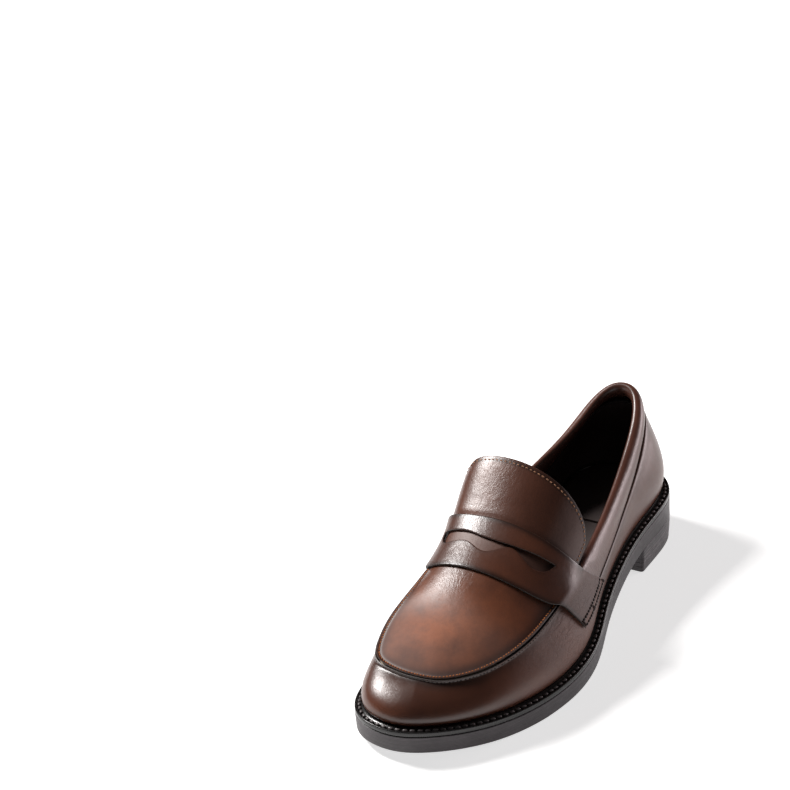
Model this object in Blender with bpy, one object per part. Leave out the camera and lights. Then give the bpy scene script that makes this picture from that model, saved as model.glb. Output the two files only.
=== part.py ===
"""Left shoe of a pair of leather penny loafers with a moc-toe apron and a low stacked heel.

Lengths are in millimetres inside the functions and become metres when a mesh is made.
x runs to the outer (lateral) side, s runs from the back of the heel to the toe tip,
z runs up from the ground.  The toe points along -Y, so y = LENGTH / 2 - s.
"""
import math

import bpy
import bmesh
import numpy as np

MM = 0.001
LENGTH = 264.0
X_MID = 0.16

# sole stack
WELT_T = 3.0
WELT_IN = 8.6
FEATHER_IN = 5.0
INNER_IN = 9.4
LAYER_GAP = 0.3
CORK_T = 1.6
INSOLE_T = 2.2
SOCK_T = 0.9
PAD_T = 1.2
HEEL_FRONT = 60.0
HEEL_IN = 1.4
TOP_PIECE = (0.0, 3.4)
LIFTS = {"heel_lift_lower": (3.6, 6.3), "heel_lift_middle": (6.5, 9.2)}
LIFT_UPPER_LOW = 9.4
SHANK = (48.0, 132.0, 6.5, 1.0)
FILLER_SPLIT = 136.0

# upper thicknesses, as offsets from the outer leather face
LEATHER = (-1.3, 0.0)
STIFFENER = (-2.7, -1.9)
LINING = (-3.8, -3.0)
STRAP = (0.5, 1.8)
TONGUE_LINING = (-2.3, -1.6)
TONGUE = (-1.1, 0.1)
COLLAR_WIDTH = ((0, 25, 50, 80, 105, 130), (9.0, 9.5, 11.5, 14.0, 16.5, 18.5))
THREAD_R = 0.32
WELD = 0.08

# stations along the shoe
PLUG_REAR = 151.0
SPINE_END = 212.0
COLLAR_END = 137.0
TONGUE_TOP = 116.8
TONGUE_ROOT = 144.0
LINING_SPLIT = 152.0
PUFF_REAR = 205.0
COUNTER_FRONT = 74.0
PIVOT = (0.0, 144.6, 75.0)
STRAP_END = (0.37, 0.57)
EDGE_DROP = 6.0
TONGUE_CORE = (-5.0, 134.0, 58.0)
STITCH_LIFT = 0.85
TUCK = (68.0, 16.0, 2.8)
THREAD_REAR = (168.5, 175.0)
APRON_EDGE = 0.955
WALL_EDGE = 0.955
SLOT_Q = (-0.80, 0.62)

# outline of the outsole (x, s) beside the top ring of the upper (x, s, z)
RING = (
    ((0.0, 0.0), (0.0, 7.5, 86.0)),
    ((17.7, 4.3), (8.3, 11.0, 84.5)),
    ((29.0, 16.0), (13.6, 21.0, 79.5)),
    ((33.0, 32.0), (17.6, 37.0, 72.0)),
    ((33.2, 60.0), (22.2, 62.0, 62.5)),
    ((35.5, 90.0), (27.0, 92.0, 54.5)),
    ((41.0, 120.0), (31.0, 121.0, 50.5)),
    ((47.6, 145.0), (33.5, 145.0, 47.5)),
    ((49.6, 168.0), (33.6, 166.0, 44.4)),
    ((46.6, 190.0), (32.0, 187.0, 41.0)),
    ((40.4, 210.0), (27.3, 205.0, 38.4)),
    ((30.6, 230.0), (17.5, 221.8, 35.9)),
    ((17.0, 247.0), (4.0, 233.3, 34.6)),
    ((2.5, 258.5), (-6.0, 236.8, 34.6)),
    ((-13.0, 264.0), (-17.0, 237.5, 34.9)),
    ((-32.0, 259.5), (-30.0, 235.0, 35.4)),
    ((-43.0, 247.0), (-37.5, 229.0, 36.6)),
    ((-48.0, 230.0), (-41.0, 217.0, 40.0)),
    ((-49.3, 210.0), (-41.2, 203.0, 45.0)),
    ((-47.6, 190.0), (-38.9, 187.0, 49.5)),
    ((-43.4, 168.0), (-37.0, 168.0, 53.5)),
    ((-39.5, 145.0), (-38.3, 146.0, 56.5)),
    ((-34.0, 120.0), (-41.0, 120.0, 57.5)),
    ((-31.0, 90.0), (-33.5, 92.0, 58.5)),
    ((-32.2, 60.0), (-26.0, 62.0, 63.0)),
    ((-33.0, 32.0), (-17.6, 37.0, 72.5)),
    ((-29.0, 16.0), (-13.6, 21.0, 79.8)),
    ((-17.7, 4.3), (-8.3, 11.0, 84.5)),
    ((0.0, 0.0), (0.0, 7.5, 86.0)),
)
WELT_TOP = ((0, 40, 62, 86, 110, 135, 160, 190, 225, 264),
            (30, 28.9, 27.6, 25.1, 21.4, 17.1, 14.2, 13.1, 14.5, 18.6))
SOLE_BOTTOM = ((0, 40, 62, 86, 110, 135, 160, 180, 200, 225, 264),
               (15.6, 15.2, 14.6, 12.1, 8.4, 4.1, 0.9, 0.0, 0.0, 1.4, 5.6))
RIDGE = ((108, 116, 124, 134, 145, 160, 177, 207, 223, 238),
         ((-16, 102), (-16, 96.5), (-15, 91), (-13, 83.8), (-11.5, 76.2), (-12, 68.5), (-12, 62),
          (-13, 50.0), (-14.5, 45.2), (-17, 41.5)))
FULL_LATERAL = ((116, 145, 168, 200), (0.43, 0.70, 0.98, 0.95))
FULL_MEDIAL = ((116, 141, 173, 200), (0.14, 0.26, 0.68, 0.86))
FULL_TOE = 0.65
STRAP_FRONT = ((-1.4, -1.1, -0.85, -0.5, 0.0, 0.5, 1.0, 1.4),
               (162, 168, 172, 174.5, 175.5, 172.5, 163.6, 157.5))
STRAP_REAR = ((-1.4, -1.1, -0.85, -0.5, 0.0, 0.5, 1.0, 1.4),
              (130, 137, 141, 144.3, 145.5, 143, 134.5, 122.5))

COLORS = {
    "outsole": (0.05, 0.045, 0.045), "stack": (0.07, 0.06, 0.055), "welt": (0.02, 0.018, 0.018),
    "thread_dark": (0.03, 0.02, 0.02), "thread_brown": (0.30, 0.13, 0.06),
    "leather": (0.19, 0.085, 0.06), "leather_dark": (0.15, 0.065, 0.05),
    "lining": (0.09, 0.05, 0.04), "board": (0.42, 0.30, 0.18), "cork": (0.45, 0.28, 0.15),
    "steel": (0.6, 0.6, 0.62), "foam": (0.7, 0.65, 0.5), "stiffener": (0.55, 0.48, 0.38),
}


def clear_scene():
    """Remove every object that is already there."""
    for item in list(bpy.data.objects):
        bpy.data.objects.remove(item, do_unlink=True)


def spline(knots, values, closed=False):
    """Cubic spline through the values, with free ends or closed on itself."""
    knots = np.asarray(knots, float)
    values = np.asarray(values, float)
    count = len(knots)
    flat = values.reshape(count, -1)
    step = np.diff(knots)
    slope = np.diff(flat, axis=0) / step[:, None]
    matrix = np.eye(count)
    right = np.zeros_like(flat)
    for i in range(1, count - 1):
        matrix[i, i - 1:i + 2] = step[i - 1], 2 * (step[i - 1] + step[i]), step[i]
        right[i] = 6 * (slope[i] - slope[i - 1])
    if closed:
        matrix[0] = 0
        matrix[0, 0] = 2 * (step[0] + step[-1])
        matrix[0, 1] = step[0]
        matrix[0, count - 2] = step[-1]
        right[0] = 6 * (slope[0] - slope[-1])
        matrix[-1, 0] = 1
        matrix[-1, -1] = -1
    bend = np.linalg.solve(matrix, right)

    def at(where):
        where = np.asarray(where, float)
        if closed:
            where = knots[0] + np.mod(where - knots[0], knots[-1] - knots[0])
        i = np.clip(np.searchsorted(knots, where, side="right") - 1, 0, count - 2)
        width = step[i][..., None]
        left = (knots[i + 1] - where)[..., None]
        done = (where - knots[i])[..., None]
        cubic = (bend[i] * left ** 3 + bend[i + 1] * done ** 3) / (6 * width)
        line = ((flat[i] / width - bend[i] * width / 6) * left
                + (flat[i + 1] / width - bend[i + 1] * width / 6) * done)
        return (cubic + line).reshape(where.shape + values.shape[1:])

    return at


OUTLINE_KEYS = np.array([row[0] for row in RING])
TOP_KEYS = np.array([row[1] for row in RING])
STEPS = np.sqrt(np.linalg.norm(np.diff(OUTLINE_KEYS, axis=0), axis=1))
KNOTS = np.concatenate([[0], np.cumsum(STEPS)]) / STEPS.sum()
outline = spline(KNOTS, OUTLINE_KEYS, True)
top_ring = spline(KNOTS, TOP_KEYS, True)
welt_top = spline(*WELT_TOP)
sole_bottom = spline(*SOLE_BOTTOM)
ridge = spline(*RIDGE)
strap_front = spline(*STRAP_FRONT)
strap_rear = spline(*STRAP_REAR)
TOE_KNOT = KNOTS[14]


def side_table(low, high):
    """Pairs of station and ring position along one side of the top ring."""
    u = np.linspace(KNOTS[low], KNOTS[high], 400)
    s = top_ring(u)[:, 1]
    order = np.argsort(s)
    return s[order], u[order]


LATERAL_TABLE = side_table(2, 14)
MEDIAL_TABLE = side_table(14, 26)


def u_side(s, side):
    """Ring position at station s, on the lateral (+1) or medial (-1) side."""
    table = LATERAL_TABLE if side > 0 else MEDIAL_TABLE
    return np.interp(s, *table)


def inset(u, distance):
    """Outline point moved inward by a distance."""
    tiny = 1e-4
    along = outline(u + tiny) - outline(u - tiny)
    normal = np.stack([along[..., 1], -along[..., 0]], -1)
    normal /= np.linalg.norm(normal, axis=-1, keepdims=True)
    return outline(u) - normal * distance, normal


def wall(u, v):
    """Outer face of the side wall: v = 0 at the feather line, v = 1 at the top ring."""
    u, v = np.broadcast_arrays(np.asarray(u, float), np.asarray(v, float))
    base, normal = inset(u, FEATHER_IN)
    foot = np.concatenate([base, welt_top(base[..., 1])[..., None] + 0.25], -1)
    top = top_ring(u)
    out = np.concatenate([normal, np.zeros_like(normal[..., :1])], -1)
    up = np.array([0.0, 0.0, 1.0])
    height = np.linalg.norm(top - foot, axis=-1)[..., None]
    inward = ((foot - top) * out).sum(-1)[..., None]
    lean = np.arctan2(inward, (top - foot)[..., 2:3])
    low = np.radians(21 - 4 * np.exp(-(base[..., 1:2] / 15) ** 2))
    high = np.clip(lean * 1.55 + math.radians(4), math.radians(-6), math.radians(82))
    first = foot + 0.36 * height * (np.sin(low) * out + np.cos(low) * up)
    second = top + 0.42 * height * (np.sin(high) * out - np.cos(high) * up)
    v = v[..., None]
    w = 1 - v
    return w ** 3 * foot + 3 * v * w * w * first + 3 * v * v * w * second + v ** 3 * top


def crown(u, r):
    """Outer face over the instep: r = 0 on the ridge, r = 1 at the top ring."""
    u, r = np.broadcast_arrays(np.asarray(u, float), np.asarray(r, float))
    top = top_ring(u)
    spine_s = np.minimum(top[..., 1], SPINE_END)
    spine_x = ridge(spine_s)[..., 0]
    x = spine_x + (top[..., 0] - spine_x) * r
    s = spine_s + (top[..., 1] - spine_s) * r
    high = ridge(s)[..., 1]
    toward_toe = np.clip((top[..., 1] - SPINE_END) / 25.0, 0, 1)
    lateral = np.interp(s, *FULL_LATERAL)
    medial = np.interp(s, *FULL_MEDIAL)
    full = np.where(u < TOE_KNOT, lateral, medial)
    full = full + (FULL_TOE - full) * toward_toe
    z = top[..., 2] + (high - top[..., 2]) * np.clip(1 - r * r, 0, 1) ** full
    return np.stack([x, s, z], -1)


def hoop(q, s):
    """Point of the outer skin at station s: |q| < 1 over the crown, up to 2 down the wall."""
    q, s = np.broadcast_arrays(np.asarray(q, float), np.asarray(s, float))
    u = np.where(q > 0, u_side(s, 1), u_side(s, -1))
    over = crown(u, np.sin(np.clip(np.abs(q), 0, 1) * math.pi / 2))
    down = wall(u, np.clip(2 - np.abs(q), 0, 1))
    return np.where((np.abs(q) <= 1)[..., None], over, down)


def to_world(points):
    """From (x, s, z) in millimetres to metres in the shoe's frame."""
    points = np.asarray(points, float)
    return np.stack([points[..., 0] - X_MID, LENGTH / 2 - points[..., 1], points[..., 2]], -1) * MM


def grid_faces(rows, cols, wrap=False, skip=()):
    """Quads of a grid of points numbered row by row."""
    faces = []
    for i in range(rows if wrap else rows - 1):
        for j in range(cols - 1):
            if (i, j) in skip:
                continue
            k = (i + 1) % rows
            faces.append((i * cols + j, i * cols + j + 1, k * cols + j + 1, k * cols + j))
    return faces


def weld(points, faces):
    """Join points that nearly coincide and drop the faces that collapse."""
    kept = np.empty((0, 3))
    remap = []
    for p in points:
        near = np.linalg.norm(kept - p, axis=1)
        if len(near) and near.min() < WELD:
            remap.append(int(near.argmin()))
        else:
            remap.append(len(kept))
            kept = np.vstack([kept, p])
    clean = []
    for face in faces:
        ring = []
        for i in face:
            if remap[i] not in ring:
                ring.append(remap[i])
        if len(ring) > 2:
            clean.append(tuple(ring))
    return kept, clean


def point_normals(points, faces):
    """Area-weighted normal at each point of a sheet."""
    total = np.zeros_like(points)
    for face in faces:
        p = points[list(face)]
        n = np.cross(p[1] - p[0], p[2] - p[0])
        if len(face) == 4:
            n = n + np.cross(p[2] - p[0], p[3] - p[0])
        for i in face:
            total[i] += n
    return total / np.maximum(np.linalg.norm(total, axis=1, keepdims=True), 1e-9)


def material(name):
    """Plain Principled material of one of the listed colours."""
    made = bpy.data.materials.get(name)
    if made is None:
        made = bpy.data.materials.new(name)
        made.use_nodes = True
        shader = made.node_tree.nodes["Principled BSDF"]
        shader.inputs["Base Color"].default_value = (*COLORS[name], 1.0)
        shader.inputs["Roughness"].default_value = 0.45
        shader.inputs["Metallic"].default_value = 1.0 if name == "steel" else 0.0
    return made


def add_object(name, points, faces, surface, pivot=None, smooth=True):
    """Make one closed body from millimetre points and faces."""
    world = to_world(points)
    origin = np.zeros(3) if pivot is None else to_world(pivot)
    mesh = bpy.data.meshes.new(name)
    mesh.from_pydata([tuple(p) for p in world - origin], [], [tuple(f) for f in faces])
    work = bmesh.new()
    work.from_mesh(mesh)
    bmesh.ops.recalc_face_normals(work, faces=work.faces)
    work.to_mesh(mesh)
    work.free()
    mesh.materials.append(material(surface))
    item = bpy.data.objects.new(name, mesh)
    item.location = tuple(origin)
    bpy.context.scene.collection.objects.link(item)
    if smooth:
        mesh.polygons.foreach_set("use_smooth", [True] * len(mesh.polygons))
        mesh.set_sharp_from_angle(angle=math.radians(40))
    return item


def shell(name, points, faces, span, surface, outside, pivot=None):
    """Thick sheet between two offsets from a surface; outside is a point the normals face."""
    points, faces = weld(np.asarray(points, float).reshape(-1, 3), faces)
    normals = point_normals(points, faces)
    facing = ((points - points.mean(axis=0)) * normals).sum()
    if facing * outside < 0:
        normals = -normals
    low, high = span
    low = np.broadcast_to(np.asarray(low, float), (len(points),))
    high = np.broadcast_to(np.asarray(high, float), (len(points),))
    body = np.concatenate([points + normals * high[:, None], points + normals * low[:, None]])
    count = len(points)
    edges = {}
    for face in faces:
        for a, b in zip(face, face[1:] + face[:1]):
            key = (min(a, b), max(a, b))
            edges[key] = None if key in edges else (a, b)
    made = list(faces)
    made += [tuple(i + count for i in reversed(face)) for face in faces]
    made += [(b, a, a + count, b + count) for a, b in filter(None, edges.values())]
    return add_object(name, body, made, surface, pivot)


def tube(name, path, radius, surface, closed=False, pivot=None, sides=4):
    """Round thread along a path of points."""
    path = np.asarray(path, float)
    rows = len(path)
    if closed:
        along = np.roll(path, -1, axis=0) - np.roll(path, 1, axis=0)
    else:
        along = np.gradient(path, axis=0)
    along /= np.linalg.norm(along, axis=1, keepdims=True)
    first = np.cross(along, [0.0, 0.0, 1.0])
    flat = np.linalg.norm(first, axis=1) < 0.2
    first[flat] = np.cross(along[flat], [1.0, 0.0, 0.0])
    first /= np.linalg.norm(first, axis=1, keepdims=True)
    for i in range(1, rows):
        if (first[i] * first[i - 1]).sum() < 0:
            first[i] = -first[i]
    second = np.cross(along, first)
    points = []
    for k in range(sides):
        angle = 2 * math.pi * k / sides + math.pi / 4
        points.append(path + radius * (math.cos(angle) * first + math.sin(angle) * second))
    points = np.stack(points, 1).reshape(-1, 3)
    faces = []
    for i in range(rows if closed else rows - 1):
        k = (i + 1) % rows
        for j in range(sides):
            m = (j + 1) % sides
            faces.append((i * sides + j, i * sides + m, k * sides + m, k * sides + j))
    if not closed:
        faces.append(tuple(range(sides)))
        faces.append(tuple((rows - 1) * sides + j for j in reversed(range(sides))))
    return add_object(name, points, faces, surface, pivot)


def outline_span(distance):
    """Left and right edges of the inset outline as functions of the station."""
    u = np.linspace(0, 1, 1601)[:-1]
    points, _ = inset(u, distance)
    back = points[:, 1].argmin()
    points = np.roll(points, -back, axis=0)
    toe = points[:, 1].argmax()
    right = points[:toe + 1]
    left = np.concatenate([points[toe:], points[:1]])[::-1]
    low, high = points[0, 1], points[toe, 1]

    def at(s):
        return (np.interp(s, left[:, 1], left[:, 0]), np.interp(s, right[:, 1], right[:, 0]))

    return at, low, high


def plank(name, distance, start, stop, top, bottom, surface, rows=36):
    """Slab inside the inset outline between two height curves of the station."""
    at, low, high = outline_span(distance)
    begin = low + 0.03 if start is None else start
    end = high - 0.03 if stop is None else stop
    t = np.linspace(0, 1, rows)
    ease_in = 1 - np.cos(t * math.pi / 2) if stop is not None else (1 - np.cos(t * math.pi)) / 2
    if start is not None:
        ease_in = np.sin(t * math.pi / 2)
    if start is not None and stop is not None:
        ease_in = t
    points = []
    for s in begin + (end - begin) * ease_in:
        left, right = at(s)
        points += [(left, s, bottom(s)), (right, s, bottom(s)), (right, s, top(s)), (left, s, top(s))]
    faces = [(0, 1, 2, 3), tuple(4 * (rows - 1) + j for j in (3, 2, 1, 0))]
    for i in range(rows - 1):
        for j in range(4):
            k = (j + 1) % 4
            faces.append((4 * i + j, 4 * i + k, 4 * i + 4 + k, 4 * i + 4 + j))
    return add_object(name, points, faces, surface)


def flat(z):
    """Height curve of a level face."""
    return lambda s: z


def tread(s):
    """Underside of the outsole."""
    return max(float(sole_bottom(s)), 0.0)


def above(gap):
    """Height curve at a distance over the top of the welt."""
    return lambda s: float(welt_top(s)) + gap


def build_sole():
    """Outsole, welt and the layers between the outsole and the foot."""
    plank("outsole", 0.0, None, None, above(-WELT_T - LAYER_GAP), tread, "outsole", 48)
    filler_low = -WELT_T
    cork_top = filler_low + CORK_T
    plank("cork_filler", INNER_IN, FILLER_SPLIT, None, above(-LAYER_GAP), above(filler_low), "cork", 22)
    plank("shank_board", INNER_IN, None, FILLER_SPLIT - 0.5, above(cork_top), above(filler_low),
          "board", 20)
    s = np.linspace(SHANK[0], SHANK[1], 12)
    low = welt_top(s) + cork_top + 0.1
    points = []
    for si, zi in zip(s, low):
        centre = (si - SHANK[0]) / (SHANK[1] - SHANK[0]) * 4.0
        points += [(centre - SHANK[2], si, zi), (centre + SHANK[2], si, zi),
                   (centre + SHANK[2], si, zi + SHANK[3]), (centre - SHANK[2], si, zi + SHANK[3])]
    faces = [(0, 1, 2, 3), (47, 46, 45, 44)]
    for i in range(11):
        for j in range(4):
            k = (j + 1) % 4
            faces.append((4 * i + j, 4 * i + k, 4 * i + 4 + k, 4 * i + 4 + j))
    add_object("shank", points, faces, "steel")
    plank("insole_board", INNER_IN, None, None, above(INSOLE_T), above(0.0), "board", 32)
    plank("sock_liner", INNER_IN + 0.4, None, None, above(INSOLE_T + 0.2 + SOCK_T), above(INSOLE_T + 0.2),
          "lining", 32)
    pad_low = INSOLE_T + 0.4 + SOCK_T
    plank("heel_pad", INNER_IN + 3.0, None, 66.0, above(pad_low + PAD_T), above(pad_low), "lining", 14)


def build_welt():
    """Storm welt round the shoe and the stitch that runs along its top."""
    u = np.linspace(0, 1, 85)[:-1]
    sections = []
    for distance, rise in ((0.3, -WELT_T), (0.3, 0.0), (WELT_IN, 0.0), (WELT_IN, -WELT_T)):
        p, _ = inset(u, distance)
        sections.append(np.column_stack([p, welt_top(p[:, 1]) + rise]))
    points = np.stack(sections, 1).reshape(-1, 3)
    faces = []
    for i in range(84):
        k = (i + 1) % 84
        for j in range(4):
            m = (j + 1) % 4
            faces.append((4 * i + j, 4 * i + m, 4 * k + m, 4 * k + j))
    add_object("welt", points, faces, "welt")
    p, _ = inset(u, 2.2)
    tube("welt_stitch", np.column_stack([p, welt_top(p[:, 1]) + 0.55]), 0.4, "thread_dark", True)


def build_heel():
    """Low block heel: stacked lifts over a top piece, with a straight breast."""
    for name, (low, high) in LIFTS.items():
        plank(name, HEEL_IN * 0.6, None, HEEL_FRONT, flat(high), flat(low), "stack", 16)
    plank("heel_lift_upper", HEEL_IN * 0.4, None, HEEL_FRONT, lambda s: float(sole_bottom(s)) - 0.2,
          flat(LIFT_UPPER_LOW), "stack", 16)
    plank("heel_top_piece", HEEL_IN, None, HEEL_FRONT - 0.5, flat(TOP_PIECE[1]), flat(TOP_PIECE[0]),
          "outsole", 16)


def collar_base(u):
    """Height fraction of the wall where the collar band starts."""
    rib = wall(u[:, None], np.linspace(0, 1, 13)[None, :])
    length = np.linalg.norm(np.diff(rib, axis=1), axis=2).sum(axis=1)
    return 1 - np.interp(top_ring(u)[:, 1], *COLLAR_WIDTH) / length


def build_side_wall():
    """One leather wall from the back seam round the toe and back."""
    u = np.concatenate([np.linspace(0.004, KNOTS[3], 10)[:-1], np.linspace(KNOTS[3], KNOTS[25], 58),
                        np.linspace(KNOTS[25], 0.996, 10)[1:]])
    ramp = [u_side(COLLAR_END + step, side) for step in (0.6, 3.0, 6.6) for side in (1, -1)]
    u = np.sort(np.concatenate([u[np.abs(u[:, None] - np.array(ramp)[None, :]).min(axis=1) > 0.004], ramp]))
    station = top_ring(u)[:, 1]
    band = collar_base(u) - 0.008
    ease = np.clip((station - COLLAR_END - 0.6) / 6.0, 0, 1)
    top = band + (WALL_EDGE - band) * ease * ease * (3 - 2 * ease)
    rows = []
    for k in np.linspace(0, 1, 6):
        rows.append(wall(u, top * k))
    points = np.stack(rows, 1)
    shell("side_wall", points, grid_faces(len(u), 6), LEATHER, "leather", 1)


def front_positions(rear, per_side, fan):
    """Ring positions round the front, with matching stations on both sides."""
    stations = np.linspace(rear, SPINE_END, per_side)
    lateral = u_side(stations, 1)
    medial = u_side(stations, -1)[::-1]
    middle = np.linspace(lateral[-1], medial[0], fan)[1:-1]
    return np.concatenate([lateral, middle, medial])


def build_apron():
    """Apron of the vamp, inside the moc-toe seam."""
    u = front_positions(PLUG_REAR, 10, 22)
    r = np.sin(np.linspace(0, 1, 7) * math.pi / 2) * APRON_EDGE
    points = crown(u[:, None], r[None, :])
    shell("apron", points, grid_faces(len(u), 7), LEATHER, "leather", 1)
    u = np.linspace(u_side(THREAD_REAR[0], 1), u_side(THREAD_REAR[1], -1), 60)
    edge = crown(u, APRON_EDGE - 0.02)
    lift = np.column_stack([edge[:, :2], edge[:, 2] + 0.75])
    tube("apron_seam_thread", lift, THREAD_R, "thread_brown")


def dome(u, w):
    """Front skin in one sweep: w up to 1 over the crown, up to 2 down the wall."""
    over = crown(u, np.clip(w, 0, 1))
    down = wall(u, np.clip(2 - w, 0, 1))
    return np.where((w <= 1)[..., None], over, down)


def build_front_inside():
    """Vamp lining and the toe puff between it and the leather."""
    u = front_positions(LINING_SPLIT, 8, 18)
    w = np.array([0, 0.3, 0.55, 0.78, 0.92, 1.08, 1.3, 1.55, 1.78, 1.985])
    grid_u, grid_w = np.meshgrid(u, w, indexing="ij")
    shell("vamp_lining", dome(grid_u, grid_w), grid_faces(len(u), len(w)), LINING, "lining", 1)
    u = u[top_ring(u)[:, 1] > PUFF_REAR]
    w = np.array([0.78, 0.92, 1.08, 1.3, 1.55, 1.78, 1.96])
    grid_u, grid_w = np.meshgrid(u, w, indexing="ij")
    shell("toe_puff", dome(grid_u, grid_w), grid_faces(len(u), len(w)), STIFFENER, "stiffener", 1)


def rear_positions(front, count):
    """Ring positions round the back, from the medial to the lateral side."""
    return np.linspace(u_side(front, -1) - 1, u_side(front, 1), count)


def build_rear_inside():
    """Quarter lining and the heel counter."""
    u = rear_positions(LINING_SPLIT - 1.2, 38)
    v = np.array([0.015, 0.2, 0.4, 0.6, 0.8, 0.975])
    shell("quarter_lining", wall(u[:, None], v[None, :]), grid_faces(len(u), 6), LINING, "lining", 1)
    u = u[top_ring(u)[:, 1] < COUNTER_FRONT]
    v = np.array([0.03, 0.2, 0.4, 0.6])
    shell("heel_counter", wall(u[:, None], v[None, :]), grid_faces(len(u), 4), STIFFENER,
          "stiffener", 1)


def build_collar():
    """Padded band round the opening, its seam and the strip over the back seam."""
    u = rear_positions(COLLAR_END, 48)
    base = collar_base(u)
    part = np.array([0.0, 0.12, 0.5, 0.88, 1.0])
    v = base[:, None] + (1 - base[:, None]) * part[None, :]
    points = wall(u[:, None], v)
    station = top_ring(u)[:, 1]
    plump = np.clip((COLLAR_END - 15 - station) / 14.0, 0, 1)
    profile = np.array([-0.1, 0.7, 1.1, 0.6, -0.5])
    high = np.minimum(profile[None, :], plump[:, None] * profile[None, :])
    low = np.broadcast_to(np.array([-1.3, -2.0, -2.6, -2.6, -1.9])[None, :], high.shape)
    shell("collar_band", points, grid_faces(len(u), 5), (low.ravel(), high.ravel()), "leather_dark", 1)
    seam_u = rear_positions(COLLAR_END - 14, 64)
    seam = wall(seam_u, collar_base(seam_u) - 0.05)
    _, normal = inset(seam_u, 0.0)
    seam[:, :2] += normal * 0.45
    tube("collar_stitch", seam, THREAD_R, "thread_dark")
    u = np.array([-0.011, -0.0055, 0.0, 0.0055, 0.011])
    v = np.linspace(0.04, 0.75, 9)
    shell("back_strip", wall(u[:, None], v[None, :]), grid_faces(5, 9), (0.3, 1.2), "leather", 1)
    tube("back_strip_stitch", wall(np.zeros(9), v) + np.array([0.0, -1.65, 0.0]), THREAD_R, "thread_dark")


def build_strap():
    """Saddle strap across the instep with its coin slot and end stitching."""
    q = np.concatenate([[-1 - STRAP_END[0], -1.2, -1.05, -0.93], np.linspace(*SLOT_Q, 15), [0.8, 0.93, 1.05, 1.2,
                        1.38, 1 + STRAP_END[1]]])
    start, stop = 4, 17
    middle = (q - SLOT_Q[0]) / (SLOT_Q[1] - SLOT_Q[0])
    open_part = np.clip(np.sin(np.clip(middle, 0, 1) * math.pi), 0, 1) ** 0.35
    pockets = np.exp(-((middle - 0.36) / 0.17) ** 2) + 0.9 * np.exp(-((middle - 0.86) / 0.10) ** 2)
    rear_side = 0.31 + 0 * q
    front_side = rear_side + 0.035 + open_part * (0.03 + 0.15 * pockets)
    columns = [0 * q, 0.5 * rear_side, rear_side, front_side, (1 + front_side) / 2, 1 + 0 * q]
    share = np.stack(columns, 1)
    station = strap_rear(q)[:, None] * (1 - share) + strap_front(q)[:, None] * share
    points = hoop(np.broadcast_to(q[:, None], share.shape), station)
    skip = {(i, 2) for i in range(start, stop + 1)}
    shell("saddle_strap", points, grid_faces(len(q), 6, skip=skip), STRAP, "leather", 1)
    for name, side, end in (("strap_stitch_lateral", 1, STRAP_END[1]), ("strap_stitch_medial", -1, STRAP_END[0])):
        near = side * (1 + end - 0.045)
        far = side * (1 + end - 0.12)
        share = np.linspace(0.05, 0.95, 14)
        path = []
        for value, shares in ((near, share), (far, share[::-1])):
            s = strap_rear(value) * (1 - shares) + strap_front(value) * shares
            line = hoop(np.full(len(s), value), s)
            _, normal = inset(u_side(s, side), 0.0)
            line[:, :2] += normal * (STRAP[1] + 0.42)
            line[:, 2] += 0.45
            path.append(line)
        tube(name, np.concatenate(path), THREAD_R, "thread_brown", True)


def tongue_point(q, depth):
    """Tongue face: depth 0 at the root behind the strap, 1 at the free edge."""
    q, depth = np.broadcast_arrays(np.asarray(q, float), np.asarray(depth, float))
    edge = TONGUE_TOP + EDGE_DROP * np.abs(q) ** 6
    root = np.minimum(TONGUE_ROOT, strap_rear(q) - 1.2)
    s = root + (edge - root) * depth
    point = hoop(q, s)
    tuck = np.clip((TUCK[0] - point[..., 2]) / TUCK[1], 0, 1)
    point[..., 0] -= np.sign(q) * TUCK[2] * tuck * tuck * (3 - 2 * tuck)
    return point


def build_tongue():
    """Tongue tab above the strap, its lining and edge stitching."""
    half = np.array([0.12, 0.3, 0.48, 0.64, 0.78, 0.88, 0.94, 0.972])
    q = np.concatenate([-half[::-1], half])
    depth = np.linspace(0, 1, 6)
    points = tongue_point(q[:, None], depth[None, :])
    faces = grid_faces(len(q), 6)
    shell("tongue", points, faces, TONGUE, "leather", 1, PIVOT)
    shell("tongue_lining", points, faces, TONGUE_LINING, "lining", 1, PIVOT)
    q = np.concatenate([np.full(4, -0.9), np.linspace(-0.86, 0.86, 24), np.full(4, 0.9)])
    depth = np.concatenate([np.linspace(0.15, 0.78, 4), np.full(24, 0.86), np.linspace(0.78, 0.15, 4)])
    tiny = 1e-3
    across = tongue_point(q + tiny, depth) - tongue_point(q - tiny, depth)
    along = tongue_point(q, depth + tiny) - tongue_point(q, depth - tiny)
    out = np.cross(along, across)
    out /= np.linalg.norm(out, axis=1, keepdims=True)
    facing = ((tongue_point(q, depth) - TONGUE_CORE) * out).sum(axis=1)
    path = tongue_point(q, depth) + out * np.sign(facing)[:, None] * STITCH_LIFT
    tube("tongue_stitch", path, THREAD_R * 0.9, "thread_brown", pivot=PIVOT)


def main():
    clear_scene()
    build_sole()
    build_welt()
    build_heel()
    build_side_wall()
    build_apron()
    build_front_inside()
    build_rear_inside()
    build_collar()
    build_strap()
    build_tongue()


main()
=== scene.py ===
import math

import bpy
import numpy as np
from mathutils import Matrix, Vector


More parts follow.
